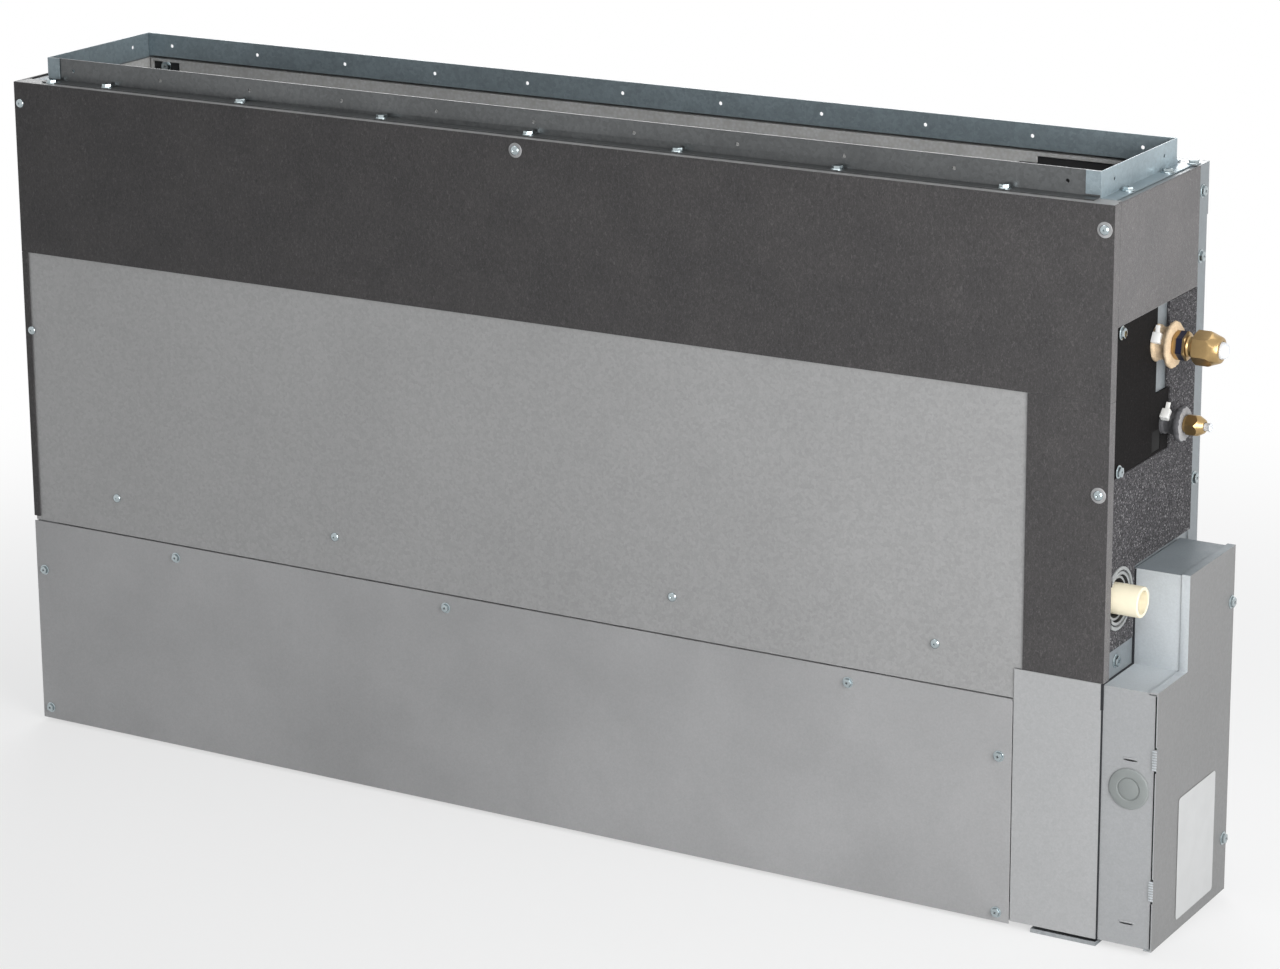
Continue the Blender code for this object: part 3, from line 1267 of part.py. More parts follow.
def coil_lines():
    low = Vector((HEADER_X, *coil_point(-HEADER_HALF, 0)))
    high = Vector((HEADER_X, *coil_point(HEADER_HALF, 0)))
    shape = bmesh.new()
    slope = (high - low).normalized()
    swept(shape, [low, high], [slope, slope], AXES["X"], HEADER_R, 12)
    header = add_object("coil_header", shape, COPPER, round_shape=True)
    stubs = bmesh.new()
    for row in range(1, TUBE_ROWS, 2):
        along, across = tube_spot(row, -1)
        if abs(along) > HEADER_HALF - TUBE_R:
            continue
        spot = coil_point(along, across)
        swept(stubs, [(COIL_X1 + GAP, *spot), (HEADER_X, *spot)], [AXES["X"]] * 2, AXES["Y"], TUBE_R, 8)
    join(header, stubs, "_stubs")

    mid_y = coil_point((GAS_Z - COIL_MID_Z) / cos(COIL_TILT), 0)[0]
    gas = [
        (HEADER_X + HEADER_R + GAP, mid_y, GAS_Z), (HEADER_X + HEADER_R + LINE_LEAD, mid_y, GAS_Z),
        (CASE_W - GAS_BEND_IN, GAS_Y, GAS_Z), (CASE_W + GAS_PIPE_END, GAS_Y, GAS_Z),
    ]
    pipe("gas_pipe", rounded(gas, 0.003, 3), GAS_PIPE_R, COPPER)
    spot = coil_point(*tube_spot(LIQUID_ROW, -1))
    liquid = [
        (COIL_X1 + GAP, *spot), (CASE_W - LIQUID_BEND_IN - LINE_LEAD, *spot),
        (CASE_W - LIQUID_BEND_IN, LIQUID_Y, LIQUID_Z), (CASE_W + LIQUID_PIPE_END, LIQUID_Y, LIQUID_Z),
    ]
    pipe("liquid_pipe", rounded(liquid, 0.005, 4), LIQUID_PIPE_R, COPPER)


# Drain pan, socket and pipe
# The foam pan lies on the deck under the coil's low edge, with a channel in front and a seat behind.
PAN_BOTTOM = DECK_Z + SHEET + GAP
PAN_FLOOR = PAN_BOTTOM + PAN_WALL


def drain_pan():
    foot_y, foot_z = coil_point(-COIL_LENGTH / 2, COIL_THICK / 2)
    seat_y = foot_y - PAN_SEAT
    seat_z = foot_z - GAP
    inner_y = PAN_FRONT_Y + PAN_WALL
    rear_y = PAN_REAR_Y - PAN_WALL
    outline = [
        (PAN_FRONT_Y, PAN_BOTTOM), (PAN_REAR_Y, PAN_BOTTOM), (PAN_REAR_Y, PAN_RIM_Z - PAN_STEP),
        (rear_y, PAN_RIM_Z - PAN_STEP), (rear_y, seat_z), (seat_y, seat_z), (seat_y - PAN_SLOPE, PAN_FLOOR),
        (inner_y, PAN_FLOOR), (inner_y, PAN_RIM_Z), (PAN_FRONT_Y, PAN_RIM_Z),
    ]
    end = CASE_W - SIDE_SET - SHEET - PAN_END_GAP
    start = SIDE_SET + SHEET + GAP
    shape = bmesh.new()
    prism(shape, outline, "X", start, end)
    pan = add_object("drain_pan", shape, FOAM_WHITE)
    wall = bmesh.new()
    for from_x, to_x in ((start, start + PAN_WALL), (end - PAN_WALL, end)):
        low = (from_x, PAN_FRONT_Y + SHEET, PAN_BOTTOM + SHEET)
        slab(wall, low, (to_x, PAN_REAR_Y - SHEET, seat_z - 2 * SHEET))
    join(pan, wall, "_end_walls")
    outlet = bmesh.new()
    bore = DRAIN_PIPE_R + GAP
    rod(outlet, (end, DRAIN_Y, DRAIN_Z), bore, 2 * PAST, sides=24)
    cut(pan, outlet, "_outlet")

    socket_from = end + GAP
    length = CASE_W - SIDE_SET - socket_from
    shape = bmesh.new()
    profile = [
        (0, bore), (length + SOCKET_OUT, bore), (length + SOCKET_OUT, bore + SOCKET_WALL),
        (SOCKET_FLOOR, bore + 2 * SOCKET_WALL), (SOCKET_FLOOR, DRAIN_HOLE_R - 3 * SOCKET_WALL),
        (length, DRAIN_HOLE_R - 2 * SOCKET_WALL), (length, DRAIN_HOLE_R - GAP), (0, DRAIN_HOLE_R - GAP),
    ]
    turned(shape, profile, (socket_from, DRAIN_Y, DRAIN_Z), "X", 24, ring=True)
    add_object("drain_socket", shape, PLASTIC_WHITE, round_shape=True)

    shape = bmesh.new()
    start = end - PAN_WALL
    length = CASE_W + DRAIN_REACH - start
    edge = SHEET / 2
    profile = [
        (0, DRAIN_PIPE_BORE_R), (length, DRAIN_PIPE_BORE_R), (length, DRAIN_PIPE_R - edge),
        (length - edge, DRAIN_PIPE_R), (0, DRAIN_PIPE_R),
    ]
    turned(shape, profile, (start, DRAIN_Y, DRAIN_Z), "X", 24, ring=True)
    add_object("drain_pipe", shape, PVC_CREAM, round_shape=True)


# Refrigerant connections
# Each line leaves through a foam sleeve with a wider end, a tie, a brass union and a flare nut. A
# white bung stands in the union's bore and shows through the nut.
def sleeve(name, y, z, pipe_r, tube_r, waist_r, waist_start, disc_r, disc, finish):
    """A foam sleeve that its tie squeezes to a waist, and that spreads into a disc at its end."""
    shape = bmesh.new()
    bore = pipe_r + GAP
    waist = (waist_start - GAP, waist_start + TIE_W + GAP)
    profile = [
        (SLEEVE_START, bore), (SLEEVE_START, tube_r), (waist[0] - WAIST_SLOPE, tube_r),
        (waist[0], waist_r), (waist[1], waist_r), (disc[0] + DISC_SLOPE, disc_r),
        (disc[1], disc_r), (disc[1], bore),
    ]
    turned(shape, profile, (CASE_W, y, z), "X", 20, ring=True)
    add_object(name, shape, finish, round_shape=True)


def flare_nut(name, y, z, flats, start, hex_length, length, thread_r, pipe_r):
    """A hexagon nut with chamfered corners and a tapered tail, bored for the thread and the tube."""
    centre = Vector((CASE_W + start, y, z))
    corner_r = flats / 2 / cos(pi / 6)
    shape = bmesh.new()
    turned(shape, [(0, 0), (0, corner_r), (length, corner_r), (length, 0)], centre, "X", 6)
    nut = add_object(name, shape, BRASS, centre, round_shape=True)
    envelope = bmesh.new()
    over = corner_r + GAP
    tail_r = flats / 2 * NUT_TAIL_SHARE
    profile = [
        (-NUT_CHAMFER, 0), (-NUT_CHAMFER, corner_r - NUT_FACE_IN), (NUT_CHAMFER, over),
        (hex_length, over), (hex_length + 1.5 * NUT_CHAMFER, flats / 2 * NUT_TURNED_SHARE),
        (length - NUT_CHAMFER, tail_r + SHEET), (length + NUT_CHAMFER, tail_r - SHEET),
        (length + NUT_CHAMFER, 0),
    ]
    turned(envelope, profile, centre, "X", 20)
    shape_with(nut, envelope, "INTERSECT", "_envelope")
    bore = bmesh.new()
    thread_bore = thread_r + THREAD_CLEAR
    hole = pipe_r + PIPE_CLEAR
    thread_depth = length * NUT_THREAD_SHARE
    profile = [
        (-PAST, 0), (-PAST, thread_bore), (thread_depth, thread_bore),
        (thread_depth + thread_bore - hole, hole), (length + PAST, hole), (length + PAST, 0),
    ]
    turned(bore, profile, centre, "X", 16)
    cut(nut, bore, "_bore")


def union(name, y, z, flange, flange_r, thread, thread_r, pipe_r, bore_r, pipe_end):
    """A brass flare union: a flange that the pipe is brazed into, a neck and a coned thread."""
    shape = bmesh.new()
    socket = pipe_r + GAP
    lip_r = bore_r + THREAD_LIP
    neck_r = thread_r * NECK_SHARE
    profile = [
        (flange[0], socket), (flange[0], flange_r), (flange[1], flange_r), (flange[1], neck_r),
        (thread[0], neck_r), (thread[0] + SHEET / 2, thread_r), (thread[1] - thread_r + lip_r, thread_r),
        (thread[1], lip_r), (thread[1], bore_r), (pipe_end + GAP, bore_r), (pipe_end + GAP, socket),
    ]
    turned(shape, profile, (CASE_W, y, z), "X", 16, ring=True)
    add_object(name, shape, BRASS, round_shape=True)


def dust_plug(name, y, z, shank, shank_r, body_from, body_r, reach):
    """A white bung with a domed end."""
    centre = Vector((CASE_W + shank[0], y, z))
    tip = reach - shank[0]
    profile = [(0, 0), (0, shank_r), (shank[1] - shank[0], shank_r), (body_from - shank[0], body_r)]
    for turn in (0, radians(35), radians(65)):
        profile.append((tip - body_r * (1 - sin(turn)), body_r * cos(turn)))
    profile.append((tip, 0))
    shape = bmesh.new()
    turned(shape, profile, centre, "X", 16)
    add_object(name, shape, PLASTIC_WHITE, centre, round_shape=True)


def pipe_tie(name, y, z, waist_r, start):
    """A plastic band round a sleeve's waist, with its lock block on the front side."""
    shape = bmesh.new()
    inner = waist_r + GAP
    band = [(start, inner), (start + TIE_W, inner), (start + TIE_W, inner + TIE_T), (start, inner + TIE_T)]
    turned(shape, band, (CASE_W, y, z), "X", 20, ring=True)
    tie = add_object(name, shape, PLASTIC_WHITE, round_shape=True)
    lock = bmesh.new()
    face = y - inner - TIE_T / 2
    low = (CASE_W + start, face - TIE_LOCK, z - SHEET)
    slab(lock, low, (CASE_W + start + TIE_W, face, z + TIE_LOCK))
    join(tie, lock, "_lock")


def connections():
    sleeve(
        "gas_sleeve", GAS_Y, GAS_Z, GAS_PIPE_R, GAS_SLEEVE_R, GAS_WAIST_R, GAS_TIE_START,
        GAS_DISC_R, GAS_DISC, FOAM_BEIGE,
    )
    pipe_tie("gas_tie", GAS_Y, GAS_Z, GAS_WAIST_R, GAS_TIE_START)
    union(
        "gas_union", GAS_Y, GAS_Z, GAS_FLANGE, GAS_FLANGE_R, GAS_THREAD, GAS_THREAD_R,
        GAS_PIPE_R, GAS_BORE_R, GAS_PIPE_END,
    )
    flare_nut(
        "gas_flare_nut", GAS_Y, GAS_Z, GAS_NUT_FLATS, GAS_NUT_START, GAS_NUT_HEX, GAS_NUT_LENGTH,
        GAS_THREAD_R, GAS_PIPE_R,
    )
    dust_plug(
        "gas_plug", GAS_Y, GAS_Z, GAS_PLUG_SHANK, GAS_BORE_R - GAP, GAS_PLUG_BODY,
        GAS_PIPE_R - PLUG_CLEAR, GAS_PLUG_REACH,
    )
    sleeve(
        "liquid_sleeve", LIQUID_Y, LIQUID_Z, LIQUID_PIPE_R, LIQUID_SLEEVE_R, LIQUID_WAIST_R,
        LIQUID_TIE_START, LIQUID_DISC_R, LIQUID_DISC, SLEEVE_GREY,
    )
    pipe_tie("liquid_tie", LIQUID_Y, LIQUID_Z, LIQUID_WAIST_R, LIQUID_TIE_START)
    union(
        "liquid_union", LIQUID_Y, LIQUID_Z, LIQUID_FLANGE, LIQUID_FLANGE_R, LIQUID_THREAD, LIQUID_THREAD_R,
        LIQUID_PIPE_R, LIQUID_BORE_R, LIQUID_PIPE_END,
    )
    flare_nut(
        "liquid_flare_nut", LIQUID_Y, LIQUID_Z, LIQUID_NUT_FLATS, LIQUID_NUT_START, LIQUID_NUT_HEX,
        LIQUID_NUT_LENGTH, LIQUID_THREAD_R, LIQUID_PIPE_R,
    )
    dust_plug(
        "liquid_plug", LIQUID_Y, LIQUID_Z, LIQUID_PLUG_SHANK, LIQUID_BORE_R - GAP, LIQUID_PLUG_BODY,
        LIQUID_PIPE_R - PLUG_CLEAR, LIQUID_PLUG_REACH,
    )


# Air filter
# A plastic frame with cross ribs lies in the intake, held at its sides by spring clips. It is pulled
# straight down to be washed.
def air_filter():
    low = Vector((INTAKE_X[0] + FILTER_CLEAR, INTAKE_Y[0] + FILTER_CLEAR, BASE_Z))
    high = Vector((INTAKE_X[1] - FILTER_CLEAR, INTAKE_Y[1] - FILTER_CLEAR, BASE_Z + FILTER_H))
    middle = (low + high) / 2
    shape = bmesh.new()
    slab(shape, low, high)
    frame = add_object("filter_frame", shape, PLASTIC_BLACK, middle)
    windows = bmesh.new()
    pitch = (high.x - low.x - 2 * FILTER_BAR + FILTER_RIB) / (FILTER_RIB_COUNT + 1)
    for cell in range(FILTER_RIB_COUNT + 1):
        start = low.x + FILTER_BAR + cell * pitch
        corner = (start, low.y + FILTER_BAR, low.z - PAST)
        slab(windows, corner, (start + pitch - FILTER_RIB, high.y - FILTER_BAR, high.z + PAST))
    cut(frame, windows, "_windows")
    shape = bmesh.new()
    mesh_z = high.z + GAP
    corner = (low.x + MESH_INSET, low.y + MESH_INSET, mesh_z)
    slab(shape, corner, (high.x - MESH_INSET, high.y - MESH_INSET, mesh_z + MESH_T))
    add_object("filter_mesh", shape, PLASTIC_BLACK, middle, frame)


# The two screws that hold the box cover: a hexagon head on a short shank each.
def box_cover_screws():
    for name, spot in zip(("box_screw_upper", "box_screw_lower"), box_screws):
        profile = [
            (GAP + HEAD_H, 0), (GAP + HEAD_H, HEAD_TOP_R), (GAP, HEAD_R), (GAP, SHANK_R),
            (-SHEET, SHANK_R), (-SHEET, 0),
        ]
        shape = bmesh.new()
        turned(shape, profile, spot, "X", 6)
        add_object(name, shape, ZINC)


rear_panel()
side_panels()
upper_front_panel()
lower_front_panel()
right_corner_panel()
base_plate()
foot_channels()
duct_collar()
felts()
foam_right_side()
pipe_cover_plate()
liners()
hanging_brackets()
electrical_box()
box_contents()
for housing_name, housing_start in scroll_starts.items():
    scroll(housing_name, housing_start)
fan_rotor()
fan_motor()
fan_deck()
coil()
coil_lines()
drain_pan()
connections()
air_filter()
box_cover_screws()
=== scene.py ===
from math import cos, pi, radians, sin

import bmesh
import bpy
from mathutils import Matrix, Vector


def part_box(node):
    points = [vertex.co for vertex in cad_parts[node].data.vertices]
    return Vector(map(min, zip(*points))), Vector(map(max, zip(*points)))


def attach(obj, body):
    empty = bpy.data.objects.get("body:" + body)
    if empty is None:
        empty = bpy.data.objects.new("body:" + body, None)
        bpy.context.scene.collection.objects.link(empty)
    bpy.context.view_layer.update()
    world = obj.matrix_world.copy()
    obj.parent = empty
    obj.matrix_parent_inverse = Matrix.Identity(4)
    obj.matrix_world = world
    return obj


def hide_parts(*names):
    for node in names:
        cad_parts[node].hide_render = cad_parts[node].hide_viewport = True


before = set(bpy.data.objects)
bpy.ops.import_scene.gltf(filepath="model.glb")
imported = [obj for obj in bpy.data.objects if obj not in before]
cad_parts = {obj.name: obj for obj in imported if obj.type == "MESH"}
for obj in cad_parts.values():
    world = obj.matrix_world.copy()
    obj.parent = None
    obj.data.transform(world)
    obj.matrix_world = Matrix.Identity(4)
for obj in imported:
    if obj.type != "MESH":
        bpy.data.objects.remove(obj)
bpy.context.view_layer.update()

# The studio: a pale floor that runs out into white, one soft lamp close before the object's right end,
# a broad one at its right, one above and one behind. The camera stands front right.
corner = Vector((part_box("felt_front")[0].x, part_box("felt_front")[0].y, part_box("rear_panel")[0].z))


def at(x, y, z):
    """A place in millimetres from the casing's front left bottom corner, as a place in the scene."""
    return corner + Vector((x, y, z)) / 1000


def shader_node(finish, kind, inputs=(), **settings):
    """One node of a finish, with its settings and what feeds each of its inputs."""
    made = finish.node_tree.nodes.new("ShaderNode" + kind)
    for name, value in settings.items():
        setattr(made, name, value)
    for name, value in dict(inputs).items():
        if isinstance(value, bpy.types.NodeSocket):
            finish.node_tree.links.new(value, made.inputs[name])
        else:
            made.inputs[name].default_value = value
    return made


def seen_directly(tree, reach):
    """How far a ray comes from the camera or a mirror, as a factor that also grows with distance."""
    path = shader_node(tree, "LightPath").outputs
    mirrored = shader_node(
        tree, "Math", {0: path["Is Camera Ray"], 1: path["Is Glossy Ray"]}, operation="MAXIMUM")
    clear = shader_node(
        tree, "Math", {0: mirrored.outputs[0], 1: path["Is Transmission Ray"]}, operation="MAXIMUM")
    return shader_node(tree, "Math", {0: clear.outputs[0], 1: reach}, operation="MULTIPLY").outputs[0]


def pale_stage():
    paper = bpy.data.materials.new("studio_paper")
    paper.use_nodes = True
    shader = paper.node_tree.nodes["Principled BSDF"]
    shader.inputs["Base Color"].default_value = (0.84, 0.84, 0.84, 1)
    shader.inputs["Roughness"].default_value = 0.9
    where = shader_node(paper, "TexCoord").outputs["Object"]
    away = shader_node(paper, "VectorMath", {0: where}, operation="LENGTH").outputs["Value"]
    far = shader_node(paper, "MapRange", {
        "Value": away, "From Min": 0.7, "From Max": 1.6, "To Min": 0.62, "To Max": 1.0,
    }, interpolation_type="SMOOTHSTEP").outputs["Result"]
    glow = shader_node(paper, "Emission", {"Color": (1, 1, 1, 1), "Strength": 1.0})
    both = shader_node(paper, "MixShader", {"Fac": seen_directly(paper, far)})
    links = paper.node_tree.links
    links.new(shader.outputs["BSDF"], both.inputs[1])
    links.new(glow.outputs["Emission"], both.inputs[2])
    links.new(both.outputs["Shader"], paper.node_tree.nodes["Material Output"].inputs["Surface"])
    shape = bmesh.new()
    bmesh.ops.create_grid(shape, x_segments=1, y_segments=1, size=9)
    mesh = bpy.data.meshes.new("studio_floor")
    shape.to_mesh(mesh)
    shape.free()
    mesh.materials.append(paper)
    floor = bpy.data.objects.new("studio_floor", mesh)
    bpy.context.scene.collection.objects.link(floor)

    air = bpy.data.worlds.new("studio_air")
    bpy.context.scene.world = air
    air.use_nodes = True
    plain = air.node_tree.nodes["Background"]
    plain.inputs["Color"].default_value = (0.94, 0.97, 1.0, 1)
    plain.inputs["Strength"].default_value = 0.22
    white = shader_node(air, "Background", {"Color": (1, 1, 1, 1), "Strength": 1.0})
    pick = shader_node(air, "MixShader", {"Fac": seen_directly(air, 1.0)})
    links = air.node_tree.links
    links.new(plain.outputs["Background"], pick.inputs[1])
    links.new(white.outputs["Background"], pick.inputs[2])
    links.new(pick.outputs["Shader"], air.node_tree.nodes["World Output"].inputs["Surface"])


def soft_lamp(name, place, aim, size, power):
    lamp = bpy.data.lights.new(name, "AREA")
    lamp.shape = "RECTANGLE"
    lamp.size, lamp.size_y = size
    lamp.energy = power
    stand = bpy.data.objects.new(name, lamp)
    stand.location = place
    stand.rotation_euler = (Vector(aim) - Vector(place)).to_track_quat("-Z", "Y").to_euler()
    bpy.context.scene.collection.objects.link(stand)


pale_stage()
soft_lamp("lamp_near", (1.75, -1.05, 0.85), (0.5, 0, 0.35), (1.1, 1.1), 29)
soft_lamp("lamp_right", (3.2, -0.6, 1.7), (0.4, 0, 0.35), (2.0, 2.2), 22)
soft_lamp("lamp_above", (-0.4, 0.3, 3.2), (0, 0, 0.5), (2.4, 1.6), 20)
soft_lamp("lamp_behind", (-1.6, 3.2, 1.8), (0, 0, 0.3), (2.4, 1.6), 50)

eye = bpy.data.objects.new("camera", bpy.data.cameras.new("camera"))
eye.data.lens = 108.5
eye.data.shift_y = -0.10
eye.data.clip_end = 60
turn = Matrix.Rotation(radians(30.62), 4, "Z") @ Matrix.Rotation(radians(90 - 14.69), 4, "X")
turn = turn @ Matrix.Rotation(radians(-0.39), 4, "Z")
eye.matrix_world = Matrix.Translation(at(2361.6, -2819.7, 1317.4)) @ turn
bpy.context.scene.collection.objects.link(eye)
bpy.context.scene.camera = eye
bpy.context.scene.view_settings.view_transform = "Standard"


# The casing's sheets: zinc-coated steel 1 mm thick, folded into shallow trays and screwed together.
# The zinc has a fine spangle, faint clouds from rolling, and brighter worn edges.
def new_finish(name, roughness, metallic=0.0, **more):
    """A finish with its plain numbers set, its shader, and its object's own coordinates."""
    finish = bpy.data.materials.new(name)
    finish.use_nodes = True
    shader = finish.node_tree.nodes["Principled BSDF"]
    shader.inputs["Roughness"].default_value = roughness
    shader.inputs["Metallic"].default_value = metallic
    for socket, value in more.items():
        shader.inputs[socket.replace("_", " ")].default_value = value
    return finish, shader, shader_node(finish, "TexCoord").outputs["Object"]


def shades(finish, value, stops):
    """Colours spread over a value from 0 to 1."""
    ramp = shader_node(finish, "ValToRGB", {"Fac": value})
    stages = ramp.color_ramp.elements
    stages[0].position = stops[0][0]
    stages[0].color = (*stops[0][1], 1)
    stages[1].position = stops[-1][0]
    stages[1].color = (*stops[-1][1], 1)
    for place, colour in stops[1:-1]:
        stages.new(place).color = (*colour, 1)
    return ramp.outputs["Color"]


def times(finish, one, other):
    """Two colours multiplied."""
    both = shader_node(finish, "Mix", {"Factor": 1.0}, data_type="RGBA", blend_type="MULTIPLY")
    finish.node_tree.links.new(one, both.inputs[6])
    finish.node_tree.links.new(other, both.inputs[7])
    return both.outputs[2]


def feed(finish, shader, socket, value):
    finish.node_tree.links.new(value, shader.inputs[socket])


def relief(finish, shader, height, strength, distance):
    bump = shader_node(finish, "Bump", {"Height": height, "Strength": strength, "Distance": distance})
    feed(finish, shader, "Normal", bump.outputs["Normal"])


def grey(level):
    return (level, level, level)


def zinc_sheet(name, tone, spangle, cloud, roughness=0.40, tint=(0.97, 1.0, 1.02), metal=0.20):
    """Galvanised sheet of a given brightness, with how strongly its crystals and clouds show."""
    finish, shader, where = new_finish(name, roughness, metal)
    crystals = shader_node(finish, "TexVoronoi", {"Vector": where, "Scale": 340.0})
    crystal = shader_node(finish, "SeparateColor", {"Color": crystals.outputs["Color"]}).outputs["Red"]
    clouds = shader_node(finish, "TexNoise", {"Vector": where, "Scale": 5.5, "Detail": 4.0, "Roughness": 0.6})
    fine = shader_node(finish, "TexNoise", {"Vector": where, "Scale": 700.0, "Detail": 2.0})
    dark = [tone * (1 - spangle) * part for part in tint]
    light = [tone * (1 + spangle) * part for part in tint]
    base = shades(finish, crystal, [(0.0, dark), (1.0, light)])
    fog = shades(finish, clouds.outputs["Fac"], [(0.3, grey(1 - cloud)), (0.7, grey(1 + cloud * 0.6))])
    grain = shades(finish, fine.outputs["Fac"], [(0.25, grey(0.94)), (0.75, grey(1.05))])
    feed(finish, shader, "Base Color", times(finish, times(finish, base, fog), grain))
    gloss = shader_node(finish, "MapRange", {
        "Value": crystal, "To Min": roughness - 0.05, "To Max": roughness + 0.07,
    })
    feed(finish, shader, "Roughness", gloss.outputs["Result"])
    relief(finish, shader, crystal, 0.05 + spangle * 0.4, 0.0002)
    return finish


def from_node(node):
    """A CAD node's own shape as whole faces, with its loose triangles merged."""
    shape = bmesh.new()
    shape.from_mesh(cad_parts[node].data)
    bmesh.ops.remove_doubles(shape, verts=shape.verts, dist=2e-6)
    bmesh.ops.dissolve_limit(shape, angle_limit=radians(0.5), verts=shape.verts, edges=shape.edges)
    return shape


def box_shape(low, high, edge=0.0):
    """A box between two corners, with eased edges."""
    shape = bmesh.new()
    bmesh.ops.create_cube(shape, size=1.0)
    bmesh.ops.scale(shape, verts=shape.verts, vec=high - low)
    bmesh.ops.translate(shape, verts=shape.verts, vec=(low + high) / 2)
    if edge:
        bmesh.ops.bevel(shape, geom=shape.edges[:], offset=edge, segments=2, profile=0.5,
                        affect="EDGES", material=-1)
    return shape


def carved(shape, cutter, kept="DIFFERENCE"):
    """Cuts one closed shape with another, and keeps what lies outside it or inside it."""
    pieces = []
    for name, part in (("carved", shape), ("cutter", cutter)):
        mesh = bpy.data.meshes.new(name)
        part.to_mesh(mesh)
        part.free()
        pieces.append(bpy.data.objects.new(name, mesh))
        bpy.context.scene.collection.objects.link(pieces[-1])
    cut = pieces[0].modifiers.new("cut", "BOOLEAN")
    cut.operation = kept
    cut.use_self = True
    cut.object = pieces[1]
    bpy.context.view_layer.update()
    result = bmesh.new()
    result.from_object(pieces[0], bpy.context.evaluated_depsgraph_get())
    for piece in pieces:
        mesh = piece.data
        bpy.data.objects.remove(piece)
        bpy.data.meshes.remove(mesh)
    return result


def finished(name, shape, finishes, stands_for=(), body="casing", edge=0.0, smooth=30):
    """Names a shape, and gives it its finish, its worn edge, its body and the nodes it stands for."""
    mesh = bpy.data.meshes.new(name)
    shape.to_mesh(mesh)
    shape.free()
    for finish in finishes:
        mesh.materials.append(finish)
    mesh.shade_smooth()
    mesh.set_sharp_from_angle(angle=radians(smooth))
    piece = bpy.data.objects.new(name, mesh)
    bpy.context.scene.collection.objects.link(piece)
    if edge:
        rounding = piece.modifiers.new("worn_edge", "BEVEL")
        rounding.width = edge
        rounding.segments = 2
        rounding.limit_method = "ANGLE"
        rounding.angle_limit = radians(40)
        rounding.harden_normals = True
    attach(piece, body)
    if stands_for:
        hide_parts(*stands_for)
    return piece


def sheet(node, finish, edge=0.00030, shaded_sides=None):
    """A sheet part in the shape of its node, with eased edges. Its faces that point along X may take a darker
    copy of the zinc, a painted shade.
    """
    shape = from_node(node)
    for face in shape.faces:
        face.material_index = 1 if shaded_sides and abs(face.normal.x) > 0.9 else 0
    finishes = [finish, shaded_sides] if shaded_sides else [finish]
    return finished(node + "_sheet", shape, finishes, [node], edge=edge)


casing_zinc = zinc_sheet("casing_zinc", 0.36, 0.10, 0.08, 0.38, (0.95, 1.0, 1.03))
window_zinc = zinc_sheet("window_zinc", 0.385, 0.07, 0.05, 0.42, (1.0, 1.0, 1.0))
# A darker copy of the same zinc for faces that point along X and for the right side panel: painted shade.
side_shade_zinc = zinc_sheet("side_shade_zinc", 0.23, 0.10, 0.08, 0.38, (0.90, 1.0, 1.06))
for plain_sheet in ("base_plate", "foot_channel_left", "foot_channel_right", "rear_panel", "left_side_panel"):
    sheet(plain_sheet, casing_zinc, shaded_sides=side_shade_zinc)
sheet("right_side_panel", side_shade_zinc)
seam = box_shape(at(0.2, -5, 204.05), at(1057, 5, 205.0))
finished("window_sheet", carved(from_node("upper_front_panel"), seam), [window_zinc],
         ["upper_front_panel"], edge=0.0003)


# The fan section: two black plastic wheels of forward-curved blades on one steel shaft, in white
# housings that blow up through a zinc deck, with a round motor in a strap between them.
def moulded(name, tone, roughness=0.5, flow=0.06, scale=55.0):
    """Moulded plastic with a faint flow pattern and a fine grain."""
    finish, shader, where = new_finish(name, roughness)
    drift = shader_node(finish, "TexNoise", {"Vector": where, "Scale": scale, "Detail": 4.0, "Distortion": 0.6})
    grain = shader_node(finish, "TexNoise", {"Vector": where, "Scale": 1400.0, "Detail": 1.0})
    cast = [(0.3, [part * (1 - flow) for part in tone]), (0.7, [part * (1 + flow) for part in tone])]
    feed(finish, shader, "Base Color", shades(finish, drift.outputs["Fac"], cast))
    relief(finish, shader, grain.outputs["Fac"], 0.10, 0.0002)
    return finish


def turned_metal(name, tone, roughness=0.28, marks=0.12):
    """Metal with fine turning marks round the X axis and a slightly uneven colour."""
    finish, shader, where = new_finish(name, roughness, 1.0)
    along = shader_node(finish, "Mapping", {"Vector": where, "Scale": (2600.0, 60.0, 60.0)})
    rings = shader_node(finish, "TexNoise", {"Vector": along.outputs["Vector"], "Scale": 1.0, "Detail": 2.0})
    stain = shader_node(finish, "TexNoise", {"Vector": where, "Scale": 130.0, "Detail": 4.0})
    line = shades(finish, rings.outputs["Fac"], [(0.3, grey(1 - marks)), (0.7, grey(1.0))])
    cast = [(0.35, [part * 0.90 for part in tone]), (0.65, list(tone))]
    feed(finish, shader, "Base Color", times(finish, shades(finish, stain.outputs["Fac"], cast), line))
    relief(finish, shader, rings.outputs["Fac"], 0.03, 0.0001)
    return finish


def outline_spun(outline, sides, ring=True):
    """A shape turned about the X axis from (distance along, radius) pairs in millimetres."""
    shape = bmesh.new()
    points = [shape.verts.new((along / 1000, radius / 1000, 0)) for along, radius in outline]
    following = points[1:] + points[:1] if ring else points[1:]
    for first, second in zip(points, following):
        shape.edges.new((first, second))
    bmesh.ops.spin(shape, geom=shape.verts[:] + shape.edges[:], axis=(1, 0, 0), angle=2 * pi,
                   steps=sides, use_merge=True)
    bmesh.ops.remove_doubles(shape, verts=shape.verts, dist=1e-6)
    bmesh.ops.recalc_face_normals(shape, faces=shape.faces)
    return shape


def copied_in(shape, other, matrix=None):
    """Adds a copy of another shape, set in its place by a matrix."""
    mesh = bpy.data.meshes.new("copy")
    other.to_mesh(mesh)
    if matrix:
        mesh.transform(matrix)
    shape.from_mesh(mesh)
    bpy.data.meshes.remove(mesh)


def set_down(shape, place):
    bmesh.ops.translate(shape, verts=shape.verts, vec=place)
    return shape


